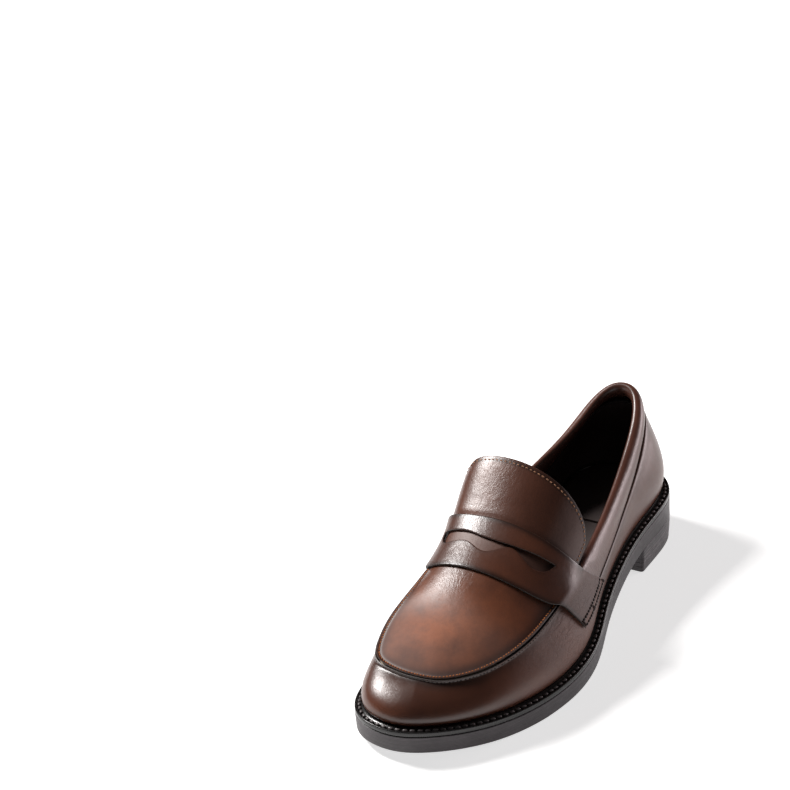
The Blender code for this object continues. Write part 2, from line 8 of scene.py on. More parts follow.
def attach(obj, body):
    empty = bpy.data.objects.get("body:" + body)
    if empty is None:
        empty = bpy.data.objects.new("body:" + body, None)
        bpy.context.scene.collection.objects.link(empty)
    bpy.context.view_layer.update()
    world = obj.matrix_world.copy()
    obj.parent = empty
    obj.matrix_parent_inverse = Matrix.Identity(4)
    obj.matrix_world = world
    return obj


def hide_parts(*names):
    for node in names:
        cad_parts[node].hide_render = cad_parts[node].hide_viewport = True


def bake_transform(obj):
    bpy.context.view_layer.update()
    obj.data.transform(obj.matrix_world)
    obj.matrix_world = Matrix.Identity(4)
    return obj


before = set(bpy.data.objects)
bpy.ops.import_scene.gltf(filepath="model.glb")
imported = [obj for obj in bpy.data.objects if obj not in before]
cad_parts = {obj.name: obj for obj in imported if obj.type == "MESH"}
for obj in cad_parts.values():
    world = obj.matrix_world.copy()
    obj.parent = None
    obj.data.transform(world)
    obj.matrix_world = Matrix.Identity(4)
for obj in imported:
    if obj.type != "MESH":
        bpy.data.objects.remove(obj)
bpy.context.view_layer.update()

# The shoe in millimetres: x to the outer side, s from the heel back to the toe tip, z up.
MM = 0.001
LENGTH = 264.0
X_MID = 0.16
FEATHER_IN = 5.0
FEATHER_RISE = 0.25
WELT_T = 3.0
SPINE_END = 212.0
# The side wall's curve: its lean above the welt in degrees, how much less at the heel and over how far;
# its lean at the top ring as gain, extra, least and most; the pull of both ends.
WALL_LEAN = (21, 4, 15)
TOP_LEAN = (1.55, 4, -6, 82)
WALL_PULL = (0.36, 0.42)
TOE_BLEND = 25.0
# The tongue: stations of its edge, its root and its hidden foot; how much of it is under the strap; its
# stitches' distance from the edge; how far its corners drop; where and how far its sides tuck in.
TONGUE_TOP = 116.8
TONGUE_ROOT = 144.0
TONGUE_FOOT = 149.6
TONGUE_UNDER = 0.18
TONGUE_ROW_IN = 2.3
EDGE_DROP = 6.0
TUCK = (68.0, 16.0, 1.6)
TONGUE_SIDE = 0.972
COLLAR_WIDTH = ((0, 25, 50, 80, 105, 130, 150), (9.0, 9.5, 11.5, 14.0, 16.2, 17.2, 17.2))
# The strap: how far its ends reach down the inner and outer wall, its thickness, the gap under it, its lift
# over the seam and at the slot (height, place and reach), and how far its thinned parts thin and sink.
STRAP_END = (0.37, 0.575)
STRAP_T = 1.3
STRAP_GAP = 0.55
SEAM_BRIDGE = (1.3, 0.2)
SLOT_ARCH = (0.9, (0.42, 0.22), (0.42, 0.25))
SKIVED = 0.80
SKIVE_DROP = 0.25
# The upper's leather: its middle below the outer face, its edge's radius, and the lining's two faces.
LEATHER_MID = -0.5
EDGE_ROLL = 0.35
LINING_FACES = (-3.0, -3.8)
LINING_SPLIT = (150.5, 149.6)
APRON_REAR = 150.0
# Stations where the collar's band and its stitches end, on the inner and outer side.
COLLAR_END = (140.5, 137.0)
COLLAR_ROW_END = 124.5
HEEL_FRONT = 60.0
TINY = 1e-4

RING = (
    ((0.0, 0.0), (0.0, 7.5, 86.0)),
    ((17.7, 4.3), (8.3, 11.0, 84.5)),
    ((29.0, 16.0), (13.6, 21.0, 79.5)),
    ((33.0, 32.0), (17.6, 37.0, 72.0)),
    ((33.2, 60.0), (22.2, 62.0, 62.5)),
    ((35.5, 90.0), (27.0, 92.0, 54.5)),
    ((41.0, 120.0), (31.0, 121.0, 50.5)),
    ((47.6, 145.0), (33.5, 145.0, 47.5)),
    ((49.6, 168.0), (33.6, 166.0, 44.4)),
    ((46.6, 190.0), (32.0, 187.0, 41.0)),
    ((40.4, 210.0), (27.3, 205.0, 38.4)),
    ((30.6, 230.0), (17.5, 221.8, 35.9)),
    ((17.0, 247.0), (4.0, 233.3, 34.6)),
    ((2.5, 258.5), (-6.0, 236.8, 34.6)),
    ((-13.0, 264.0), (-17.0, 237.5, 34.9)),
    ((-32.0, 259.5), (-30.0, 235.0, 35.4)),
    ((-43.0, 247.0), (-37.5, 229.0, 36.6)),
    ((-48.0, 230.0), (-41.0, 217.0, 40.0)),
    ((-49.3, 210.0), (-41.2, 203.0, 45.0)),
    ((-47.6, 190.0), (-38.9, 187.0, 49.5)),
    ((-43.4, 168.0), (-37.0, 168.0, 53.5)),
    ((-39.5, 145.0), (-38.3, 146.0, 56.5)),
    ((-34.0, 120.0), (-41.0, 120.0, 57.5)),
    ((-31.0, 90.0), (-33.5, 92.0, 58.5)),
    ((-32.2, 60.0), (-26.0, 62.0, 63.0)),
    ((-33.0, 32.0), (-17.6, 37.0, 72.5)),
    ((-29.0, 16.0), (-13.6, 21.0, 79.8)),
    ((-17.7, 4.3), (-8.3, 11.0, 84.5)),
    ((0.0, 0.0), (0.0, 7.5, 86.0)),
)
WELT_TOP = ((0, 40, 62, 86, 110, 135, 160, 190, 225, 264),
            (30, 28.9, 27.6, 25.1, 21.4, 17.1, 14.2, 13.1, 14.5, 18.6))
SOLE_BOTTOM = ((0, 40, 62, 86, 110, 135, 160, 180, 200, 225, 264),
               (15.6, 15.2, 14.6, 12.1, 8.4, 4.1, 0.9, 0.0, 0.0, 1.4, 5.6))
RIDGE = ((108, 116, 124, 134, 145, 160, 177, 207, 223, 238),
         ((-16, 102), (-16, 96.5), (-15, 91), (-13, 83.8), (-11.5, 76.2), (-12, 68.5), (-12, 62),
          (-13, 50.0), (-14.5, 45.2), (-17, 41.5)))
FULL_LATERAL = ((116, 145, 168, 200), (0.43, 0.70, 0.98, 0.95))
FULL_MEDIAL = ((116, 141, 173, 200), (0.14, 0.26, 0.68, 0.86))
FULL_TOE = 0.65
STRAP_FRONT = ((-1.4, -1.1, -0.85, -0.5, 0.0, 0.5, 1.0, 1.4),
               (162, 168, 172, 174.5, 175.5, 172.5, 163.6, 157.5))
STRAP_REAR = ((-1.4, -1.1, -0.85, -0.5, 0.0, 0.5, 1.0, 1.4),
              (130, 137, 141, 144.3, 145.5, 143, 134.5, 122.5))
SLOT_KEYS = (-0.74, -0.65, -0.5, -0.37, -0.2, -0.086, 0.0, 0.074, 0.14, 0.214, 0.328, 0.43, 0.515, 0.57,
             0.605)
SLOT_REAR = (0.30, 0.285, 0.28, 0.28, 0.30, 0.33, 0.35, 0.36, 0.36, 0.35, 0.325, 0.30, 0.29, 0.285, 0.285)
SLOT_FRONT = (0.41, 0.50, 0.51, 0.49, 0.475, 0.53, 0.585, 0.60, 0.50, 0.395, 0.455, 0.54, 0.52, 0.43, 0.30)
# Sections of the raised apron seam, the collar's band and the welt: distance from the edge, and height.
SEAM_RUN, SEAM_RISE = np.array((
    (6.5, 0.0), (4.8, 0.0), (3.6, 0.01), (2.7, 0.05), (2.1, 0.16), (1.7, 0.36), (1.45, 0.65), (1.30, 0.95),
    (1.20, 1.25), (1.14, 1.50))).T
COLLAR_SECTION = ((12.75, -1.35), (12.86, -0.85), (12.78, -0.45), (12.5, -0.1), (11.8, 0.25), (10.3, 0.72),
                  (8.4, 1.08), (6.2, 1.25), (4.2, 1.12), (2.4, 0.72), (1.0, 0.1), (0.1, -0.75),
                  (-0.35, -1.7), (-0.2, -2.7), (0.6, -3.5), (2.0, -4.05), (4.0, -4.35), (6.2, -4.4),
                  (8.4, -4.25), (9.6, -3.95), (10.0, -3.4), (10.1, -2.6), (11.2, -1.9), (12.3, -1.65))
WELT_SECTION = ((8.4, -2.9), (0.5, -2.9), (0.14, -2.7), (0.02, -2.3), (0.0, -1.2), (0.05, -0.45),
                (0.25, -0.1), (0.6, 0.02), (1.0, -0.05), (1.3, -0.35), (1.6, -0.62), (2.4, -0.7),
                (3.4, -0.62), (3.9, -0.3), (4.4, 0.0), (5.2, 0.1), (8.4, 0.0))


def spline(knots, values, closed=False):
    """Cubic spline through the values, with free ends or closed on itself."""
    knots = np.asarray(knots, float)
    values = np.asarray(values, float)
    count = len(knots)
    flat = values.reshape(count, -1)
    step = np.diff(knots)
    slope = np.diff(flat, axis=0) / step[:, None]
    matrix = np.eye(count)
    right = np.zeros_like(flat)
    for i in range(1, count - 1):
        matrix[i, i - 1:i + 2] = step[i - 1], 2 * (step[i - 1] + step[i]), step[i]
        right[i] = 6 * (slope[i] - slope[i - 1])
    if closed:
        matrix[0] = 0
        matrix[0, 0] = 2 * (step[0] + step[-1])
        matrix[0, 1] = step[0]
        matrix[0, count - 2] = step[-1]
        right[0] = 6 * (slope[0] - slope[-1])
        matrix[-1, 0] = 1
        matrix[-1, -1] = -1
    bend = np.linalg.solve(matrix, right)

    def at(where):
        where = np.asarray(where, float)
        if closed:
            where = knots[0] + np.mod(where - knots[0], knots[-1] - knots[0])
        i = np.clip(np.searchsorted(knots, where, side="right") - 1, 0, count - 2)
        width = step[i][..., None]
        left = (knots[i + 1] - where)[..., None]
        done = (where - knots[i])[..., None]
        cubic = (bend[i] * left ** 3 + bend[i + 1] * done ** 3) / (6 * width)
        line = ((flat[i] / width - bend[i] * width / 6) * left
                + (flat[i + 1] / width - bend[i + 1] * width / 6) * done)
        return (cubic + line).reshape(where.shape + values.shape[1:])

    return at


OUTLINE_KEYS = np.array([row[0] for row in RING])
TOP_KEYS = np.array([row[1] for row in RING])
STEPS = np.sqrt(np.linalg.norm(np.diff(OUTLINE_KEYS, axis=0), axis=1))
KNOTS = np.concatenate([[0], np.cumsum(STEPS)]) / STEPS.sum()
outline = spline(KNOTS, OUTLINE_KEYS, True)
top_ring = spline(KNOTS, TOP_KEYS, True)
welt_top = spline(*WELT_TOP)
sole_bottom = spline(*SOLE_BOTTOM)
ridge = spline(*RIDGE)
strap_front = spline(*STRAP_FRONT)
strap_rear = spline(*STRAP_REAR)
slot_rear = spline(SLOT_KEYS, SLOT_REAR)
slot_front = spline(SLOT_KEYS, SLOT_FRONT)
TOE_KNOT = KNOTS[14]


def side_table(curve, low, high):
    """Stations and curve positions along one side of the shoe."""
    samples = 900
    u = np.linspace(KNOTS[low], KNOTS[high], samples)
    s = curve(u)[:, 1]
    order = np.argsort(s)
    return s[order], u[order]


TOP_SIDES = {1: side_table(top_ring, 2, 14), -1: side_table(top_ring, 14, 26)}
LOW_SIDES = {1: side_table(outline, 2, 14), -1: side_table(outline, 14, 26)}


def u_side(s, side, tables=TOP_SIDES):
    return np.interp(s, *tables[side])


def round_heel(medial, lateral, count, tables=TOP_SIDES):
    """Curve positions from a station on the inner side round the heel to one on the outer side."""
    return np.linspace(u_side(medial, -1, tables) - 1, u_side(lateral, 1, tables), count)


def unit(v):
    return v / np.maximum(np.linalg.norm(v, axis=-1, keepdims=True), 1e-9)


def smooth(x):
    x = np.clip(x, 0, 1)
    return x * x * (3 - 2 * x)


def bell(x, width):
    """1 at zero, fading to nothing over about two widths."""
    return np.exp(-(x / width) ** 2)


def inset(u, distance):
    """Outline point moved inward, and the outward normal there."""
    along = outline(u + TINY) - outline(u - TINY)
    normal = unit(np.stack([along[..., 1], -along[..., 0]], -1))
    return outline(u) - normal * distance, normal


def wall(u, v):
    """Outer face of the side wall: v = 0 at the feather line, v = 1 at the top ring."""
    u, v = np.broadcast_arrays(np.asarray(u, float), np.asarray(v, float))
    base, normal = inset(u, FEATHER_IN)
    foot = np.concatenate([base, welt_top(base[..., 1])[..., None] + FEATHER_RISE], -1)
    top = top_ring(u)
    out = np.concatenate([normal, np.zeros_like(normal[..., :1])], -1)
    up = np.array([0.0, 0.0, 1.0])
    height = np.linalg.norm(top - foot, axis=-1)[..., None]
    inward = ((foot - top) * out).sum(-1)[..., None]
    lean = np.arctan2(inward, (top - foot)[..., 2:3])
    low = np.radians(WALL_LEAN[0] - WALL_LEAN[1] * bell(base[..., 1:2], WALL_LEAN[2]))
    extra, least, most = np.radians(TOP_LEAN[1:])
    high = np.clip(lean * TOP_LEAN[0] + extra, least, most)
    first = foot + WALL_PULL[0] * height * (np.sin(low) * out + np.cos(low) * up)
    second = top + WALL_PULL[1] * height * (np.sin(high) * out - np.cos(high) * up)
    v = v[..., None]
    w = 1 - v
    return w ** 3 * foot + 3 * v * w * w * first + 3 * v * v * w * second + v ** 3 * top


def crown(u, r):
    """Outer face over the instep: r = 0 on the ridge, r = 1 at the top ring."""
    u, r = np.broadcast_arrays(np.asarray(u, float), np.asarray(r, float))
    top = top_ring(u)
    spine_s = np.minimum(top[..., 1], SPINE_END)
    spine_x = ridge(spine_s)[..., 0]
    x = spine_x + (top[..., 0] - spine_x) * r
    s = spine_s + (top[..., 1] - spine_s) * r
    high = ridge(s)[..., 1]
    toward_toe = np.clip((top[..., 1] - SPINE_END) / TOE_BLEND, 0, 1)
    full = np.where(u < TOE_KNOT, np.interp(s, *FULL_LATERAL), np.interp(s, *FULL_MEDIAL))
    full = full + (FULL_TOE - full) * toward_toe
    z = top[..., 2] + (high - top[..., 2]) * np.clip(1 - r * r, 0, 1) ** full
    return np.stack([x, s, z], -1)


def hoop(q, s):
    """Point of the outer skin at station s: |q| < 1 over the crown, up to 2 down the wall."""
    q, s = np.broadcast_arrays(np.asarray(q, float), np.asarray(s, float))
    u = np.where(q > 0, u_side(s, 1), u_side(s, -1))
    over = crown(u, np.sin(np.clip(np.abs(q), 0, 1) * math.pi / 2))
    down = wall(u, np.clip(2 - np.abs(q), 0, 1))
    return np.where((np.abs(q) <= 1)[..., None], over, down)


def dome(u, w):
    """Whole skin along a rib: w up to 1 over the crown, up to 2 down the wall."""
    over = crown(u, np.sin(np.clip(w, 0, 1) * math.pi / 2))
    down = wall(u, np.clip(2 - w, 0, 1))
    return np.where((w <= 1)[..., None], over, down)


def ribs(u, w):
    """Points of the skin for a table of rib parameters, with one row per ring position."""
    return dome(np.broadcast_to(u[:, None], w.shape), w)


def run_along(line):
    """Length along a line of points, from its start to each of them."""
    return np.concatenate([[0], np.cumsum(np.linalg.norm(np.diff(line, axis=0), axis=1))])


def rib_walk(crown_side, steps):
    """Rib parameters from the top ring to the ridge or down to the feather line."""
    return np.linspace(1, 0 if crown_side else 2, steps)


def rib_param(u, distance, crown_side):
    """Rib parameter w at each distance (mm) from the top ring, over the crown or down the wall."""
    w = rib_walk(crown_side, 90)
    result = np.empty((len(u), np.shape(distance)[-1]))
    distance = np.broadcast_to(distance, result.shape)
    for i, position in enumerate(u):
        result[i] = np.interp(distance[i], run_along(dome(np.full(len(w), position), w)), w)
    return result


def collar_width(u):
    """Width of the padded band at each ring position."""
    return np.interp(top_ring(u)[..., 1], *COLLAR_WIDTH)


def rib_length(u, crown_side):
    """Length of each rib from the top ring to the ridge or to the feather line."""
    steps = 60
    w = np.broadcast_to(rib_walk(crown_side, steps), (len(u), steps))
    return np.linalg.norm(np.diff(ribs(u, w), axis=1), axis=2).sum(axis=1)


def to_world(points):
    points = np.asarray(points, float)
    return np.stack([points[..., 0] - X_MID, LENGTH / 2 - points[..., 1], points[..., 2]], -1) * MM


def ripple(points, scale, seed):
    """Smooth repeatable wobble between about -1 and 1, from a few slanted waves."""
    rng = np.random.default_rng(seed)
    total = np.zeros(points.shape[:-1])
    for k in range(7):
        direction = unit(rng.normal(size=3)) * scale * (0.6 + 0.25 * k)
        total += np.sin(points @ direction + rng.uniform(0, 6.28)) / (1 + 0.35 * k)
    return total / 3.0


# ---------------------------------------------------------------- meshes

def grid_quads(index, close_rows=False, close_columns=False):
    """Quads over a table of vertex numbers, which may close on itself in either direction."""
    if close_columns:
        index = np.concatenate([index, index[:, :1]], 1)
    if close_rows:
        index = np.concatenate([index, index[:1]])
    return np.stack([index[:-1, :-1], index[:-1, 1:], index[1:, 1:], index[1:, :-1]], -1)


def grid_normals(points, quads):
    area = np.cross(points[quads[:, 2]] - points[quads[:, 0]], points[quads[:, 3]] - points[quads[:, 1]])
    total = np.zeros_like(points)
    for k in range(4):
        np.add.at(total, quads[:, k], area)
    return unit(total)


def add_mesh(name, points, faces, material, attributes=None, sharp=50.0):
    """Mesh object from millimetre points and faces given as arrays or lists."""
    used = np.unique(np.concatenate([np.asarray(f).ravel() for f in faces]))
    lookup = np.full(len(points), -1)
    lookup[used] = np.arange(len(used))
    rows = []
    for block in faces:
        for face in lookup[np.asarray(block)].tolist():
            ring = list(dict.fromkeys(face))
            if len(ring) > 2:
                rows.append(ring)
    mesh = bpy.data.meshes.new(name)
    mesh.from_pydata(to_world(points[used]).tolist(), [], rows)
    for key, values in (attributes or {}).items():
        layer = mesh.attributes.new(key, "FLOAT", "POINT")
        layer.data.foreach_set("value", np.asarray(values, np.float32)[used])
    mesh.polygons.foreach_set("use_smooth", [True] * len(mesh.polygons))
    if sharp:
        mesh.set_sharp_from_angle(angle=math.radians(sharp))
    mesh.materials.append(material)
    mesh.update()
    item = bpy.data.objects.new(name, mesh)
    bpy.context.scene.collection.objects.link(item)
    return item


def turned_out(points, quads):
    """Quads turned so that they face away from the middle, and the normals of their points."""
    normals = grid_normals(points, quads)
    if ((points - points.mean(axis=0)) * normals).sum() < 0:
        return quads[:, ::-1], -normals
    return quads, normals


def solid_grid(name, points, high, low, material, remap=None, hole=None, attributes=None, paint=(1.0, 1.0)):
    """Closed thick sheet between two offsets from a table of points; its cut edges are painted dark."""
    rows, cols = points.shape[:2]
    count = rows * cols
    index = np.arange(count).reshape(rows, cols) if remap is None else remap
    quads = grid_quads(index)
    if hole is not None:
        quads = quads[~hole[:quads.shape[0], :quads.shape[1]]]
    flat = points.reshape(-1, 3)
    quads, normals = turned_out(flat, quads.reshape(-1, 4))

    def per_point(values):
        return np.broadcast_to(values, (rows, cols)).reshape(-1)

    body = np.concatenate([flat + normals * per_point(offset)[:, None] for offset in (high, low)])
    edges = {}
    for quad in quads.tolist():
        ring = list(dict.fromkeys(quad))
        if len(ring) < 3:
            continue
        for a, b in zip(ring, ring[1:] + ring[:1]):
            key = (a, b) if a < b else (b, a)
            edges[key] = None if key in edges else (a, b)
    border = np.array([pair for pair in edges.values() if pair])
    rim = np.stack([border[:, 1], border[:, 0], border[:, 0] + count, border[:, 1] + count], -1)
    data = {key: np.tile(per_point(values), 2) for key, values in (attributes or {}).items()}
    edge = np.zeros((2, count))
    for side, amount in enumerate(paint):
        edge[side, border.ravel()] = per_point(amount)[border.ravel()]
    data["edge"] = edge.ravel()
    return add_mesh(name, body, [quads, quads[:, ::-1] + count, rim], material, data)


def rolled(distance, radius):
    """Share of the half thickness left at a distance from a rounded edge."""
    x = np.clip(1 - distance / radius, 0, 1)
    return np.sqrt(np.clip(1 - x * x * 0.85, 0, 1))


def capsule_ring(around=8, along=7):
    """Unit capsule: long axis X from -1 to 1, section radius 1, with its faces."""
    t = np.linspace(-1, 1, along)
    radius = np.sqrt(np.clip(1 - np.abs(t) ** 2.6, 0, 1))
    angle = np.arange(around) * 2 * math.pi / around
    circle = np.column_stack([np.ones(around), np.cos(angle), np.sin(angle)])
    rings = [circle * [t[i], radius[i], radius[i]] for i in range(1, along - 1)]
    points = np.concatenate([[[-1.0, 0, 0]]] + rings + [[[1.0, 0, 0]]])
    faces = []
    last = len(points) - 1
    for j in range(around):
        k = (j + 1) % around
        faces.append((0, 1 + k, 1 + j, 1 + j))
        for a in range(1, 1 + (along - 3) * around, around):
            faces.append((a + j, a + k, a + around + k, a + around + j))
        a = 1 + (along - 3) * around
        faces.append((a + j, a + k, last, last))
    return points, np.array(faces)


def sampled(where, run, values):
    return np.stack([np.interp(where, run, values[:, k]) for k in range(3)], -1)


def stitch_row(name, path, normals, pitch, size, material, sink=0.0, tilt=0.0, jitter=0.0, seed=1,
               closed=False, resolution=(8, 7)):
    """Row of separate stitches laid along a path, as one object; size is length, width and height."""
    path = np.asarray(path, float)
    if closed:
        path = np.concatenate([path, path[:1]])
        normals = np.concatenate([normals, normals[:1]])
    run = run_along(path)
    count = max(1, int(round(run[-1] / pitch)))
    where = (np.arange(count) + 0.5) * run[-1] / count
    rng = np.random.default_rng(seed)
    where = where + rng.uniform(-1, 1, count) * jitter * pitch
    centre = sampled(where, run, path)
    up = unit(sampled(where, run, normals))
    along = unit(sampled(where + 0.4, run, path) - sampled(where - 0.4, run, path))
    side = unit(np.cross(up, along))
    if tilt:
        along = unit(along + side * tilt)
        side = unit(np.cross(up, along))
    up = np.cross(along, side)
    shape, faces = capsule_ring(*resolution)
    swell = 1 + rng.uniform(-1, 1, (count, 1, 1)) * jitter * 0.5
    local = shape[None] * (np.array(size) / 2) * swell
    points = (centre[:, None] + local[..., :1] * along[:, None] + local[..., 1:2] * side[:, None]
              + local[..., 2:] * up[:, None] - up[:, None] * sink)
    faces = (faces[None] + (np.arange(count) * len(shape))[:, None, None]).reshape(-1, 4)
    return add_mesh(name, points.reshape(-1, 3), [faces], material, sharp=None)


# ---------------------------------------------------------------- materials

BLACK = (0, 0, 0, 1)
WHITE = (1, 1, 1, 1)
# Tone that the redder marks mix toward: the apron's redder crown, and painted highlights.
WARM_AND_HIGHLIGHT_LEATHER = (0.30, 0.092, 0.036, 1)
EDGE_PAINT = (0.006, 0.004, 0.003, 1)
DUST = (0.16, 0.14, 0.13, 1)


def node(tree, kind, **inputs):
    """New node; a keyword sets a property of the node, or else the input of that name."""
    made = tree.nodes.new(kind)
    for key, value in inputs.items():
        if hasattr(made, key):
            setattr(made, key, value)
        else:
            made.inputs[key.replace("_", " ")].default_value = value
    return made


def feed(tree, sockets, values):
    """Link or set each socket in turn."""
    for socket, value in zip(sockets, values):
        if isinstance(value, bpy.types.NodeSocket):
            tree.links.new(value, socket)
        else:
            socket.default_value = value


def ramp(tree, source, stops):
    made = tree.nodes.new("ShaderNodeValToRGB")
    ends = made.color_ramp.elements
    for element, (position, color) in ((ends[0], stops[0]), (ends[-1], stops[-1])):
        element.position = position
        element.color = color
    for position, color in stops[1:-1]:
        ends.new(position).color = color
    tree.links.new(source, made.inputs["Fac"])
    return made.outputs["Color"]


def mix_color(tree, factor, first, second):
    made = node(tree, "ShaderNodeMix", data_type="RGBA")
    feed(tree, (made.inputs[0], made.inputs[6], made.inputs[7]), (factor, first, second))
    return made.outputs[2]


def maths(tree, operation, *values, clamp=False):
    made = node(tree, "ShaderNodeMath", operation=operation, use_clamp=clamp)
    feed(tree, made.inputs, values)
    return made.outputs[0]


def noise(tree, coords, scale, detail=4.0, rough=0.55, stretch=None, distortion=0.0):
    vector = coords
    if stretch:
        mapping = node(tree, "ShaderNodeMapping", Scale=stretch[0], Rotation=stretch[1])
        tree.links.new(coords, mapping.inputs["Vector"])
        vector = mapping.outputs[0]
    made = node(tree, "ShaderNodeTexNoise", Scale=scale, Detail=detail, Roughness=rough,
                Distortion=distortion)
    tree.links.new(vector, made.inputs["Vector"])
    return made.outputs["Fac"]


def voronoi(tree, coords, scale):
    made = node(tree, "ShaderNodeTexVoronoi", Scale=scale, feature="DISTANCE_TO_EDGE")
    tree.links.new(coords, made.inputs["Vector"])
    return made.outputs["Distance"]


def attribute(tree, name, share=None, clamp=False):
    """Value painted on the mesh, times a number or another value."""
    value = node(tree, "ShaderNodeAttribute", attribute_name=name).outputs["Fac"]
    return value if share is None else maths(tree, "MULTIPLY", value, share, clamp=clamp)


def new_material(name):
    made = bpy.data.materials.new(name)
    made.use_nodes = True
    tree = made.node_tree
    shader = tree.nodes["Principled BSDF"]
    coords = tree.nodes.new("ShaderNodeTexCoord").outputs["Object"]
    return made, tree, shader, coords


def bump(tree, shader, height, strength, distance, normal=None):
    made = node(tree, "ShaderNodeBump", Strength=strength, Distance=distance)
    tree.links.new(height, made.inputs["Height"])
    if normal is not None:
        tree.links.new(normal, made.inputs["Normal"])
    tree.links.new(made.outputs[0], shader.inputs["Normal"])
    return made.outputs[0]


def settings(shader, **values):
    """Values on the shader's own sockets."""
    for key, value in values.items():
        shader.inputs[key.replace("_", " ")].default_value = value


def darker(color, share):
    return tuple(c * share for c in color[:3]) + (1,)


def leather(name, light, mid, dark, roughness=0.31, stretch=(1.0, 0.25, 1.0), shaded_and_burnished=True):
    """Smooth finished leather: mottled colour, burnish and painted shade, redder patches with painted
    highlights, fine grain, hairline creases.
    """
    made, tree, shader, coords = new_material(name)
    cloud = noise(tree, coords, 34.0, 5.0, 0.6)
    fleck = noise(tree, coords, 210.0, 5.0, 0.62)
    color = ramp(tree, cloud, ((0.30, dark), (0.48, mid), (0.70, light)))
    color = mix_color(tree, maths(tree, "MULTIPLY", fleck, 0.7), color, mid)
    # Painted marks read from the mesh: a redder tone that also serves as painted highlight, and darkening
    # that is partly burnish and partly painted shade.
    if shaded_and_burnished:
        patch = noise(tree, coords, 75.0, 6.0, 0.65)
        patch = ramp(tree, patch, ((0.32, darker(WHITE, 0.3)), (0.68, WHITE)))
        color = mix_color(tree, attribute(tree, "warm_and_highlight", patch, True), color, WARM_AND_HIGHLIGHT_LEATHER)
        color = mix_color(tree, attribute(tree, "burnish_and_shade", 0.95, True), color, darker(mid, 0.25))
    color = mix_color(tree, attribute(tree, "edge", 0.93), color, EDGE_PAINT)
    tree.links.new(color, shader.inputs["Base Color"])
    wear = 0.03
    rough = maths(tree, "MULTIPLY_ADD", noise(tree, coords, 420.0, 4.0, 0.6), 2 * wear, roughness - wear)
    rough = maths(tree, "ADD", rough, attribute(tree, "edge", 0.4))
    if shaded_and_burnished:
        rough = maths(tree, "ADD", rough, attribute(tree, "matt", 0.40))
    tree.links.new(rough, shader.inputs["Roughness"])
    settings(shader, Specular_IOR_Level=0.6)
    pores = ramp(tree, voronoi(tree, coords, 2400.0), ((0.0, BLACK), (0.16, WHITE)))
    first = bump(tree, shader, pores, 0.15, 0.00005)
    folds = noise(tree, coords, 360.0, 3.0, 0.5, (stretch, (0.25, 0.15, 0.35)), 0.5)
    lines = ramp(tree, folds, ((0.40, WHITE), (0.49, BLACK), (0.58, WHITE)))
    height = mix_color(tree, attribute(tree, "crease", 0.8, True), WHITE, lines)
    second = bump(tree, shader, height, 0.6, 0.00018, first)
    bump(tree, shader, noise(tree, coords, 90.0, 3.0, 0.5), 0.4, 0.0005, second)
    return made


def thread(name, color, dark):
    """Waxed twisted thread."""
    made, tree, shader, coords = new_material(name)
    speck = noise(tree, coords, 2600.0, 3.0, 0.6)
    tree.links.new(ramp(tree, speck, ((0.3, dark), (0.7, color))), shader.inputs["Base Color"])
    settings(shader, Roughness=0.75, Specular_IOR_Level=0.25)
    wave = node(tree, "ShaderNodeTexWave", Scale=900.0, Distortion=2.0)
    tree.links.new(coords, wave.inputs["Vector"])
    bump(tree, shader, wave.outputs["Fac"], 0.4, 0.0001)
    return made


def rubber(name, color, light, roughness, line_pitch=None, strength=0.3):
    """Dense sole rubber or stacked sheet with faint horizontal lines and scuffs; line_pitch is in mm."""
    made, tree, shader, coords = new_material(name)
    tone = ramp(tree, noise(tree, coords, 60.0, 6.0, 0.65), ((0.3, color), (0.75, light)))
    dust = ramp(tree, noise(tree, coords, 1900.0, 2.0, 0.7), ((0.66, BLACK), (0.80, WHITE)))
    tone = mix_color(tree, maths(tree, "MULTIPLY", dust, 0.25), tone, DUST)
    wear = 0.12
    rough = maths(tree, "MULTIPLY_ADD", noise(tree, coords, 300.0, 4.0, 0.6), 0.25, roughness - wear)
    tree.links.new(rough, shader.inputs["Roughness"])
    settings(shader, Specular_IOR_Level=0.45)
    first = bump(tree, shader, noise(tree, coords, 1400.0, 3.0, 0.6), 0.25, 0.00012)
    if line_pitch:
        level = ((0.02, 0.02, 1.0), (0, 0, 0))
        streak = noise(tree, coords, 1.0 / (line_pitch * MM), 3.0, 0.55, level)
        streaks = ramp(tree, streak, ((0.40, BLACK), (0.55, WHITE)))
        tone = mix_color(tree, maths(tree, "MULTIPLY", streaks, 0.35), tone, darker(color, 0.45))
        bump(tree, shader, streaks, strength, 0.00015, first)
    tree.links.new(tone, shader.inputs["Base Color"])
    return made


def board_material(name, first, second, scale, metallic=0.0, roughness=0.8):
    """Fibre board, cork, stiffener or brushed strip hidden inside the shoe."""
    made, tree, shader, coords = new_material(name)
    grain = noise(tree, coords, scale, 6.0, 0.7)
    tree.links.new(ramp(tree, grain, ((0.3, first), (0.7, second))), shader.inputs["Base Color"])
    settings(shader, Roughness=roughness, Metallic=metallic)
    bump(tree, shader, grain, 0.4, 0.0002)
    return made


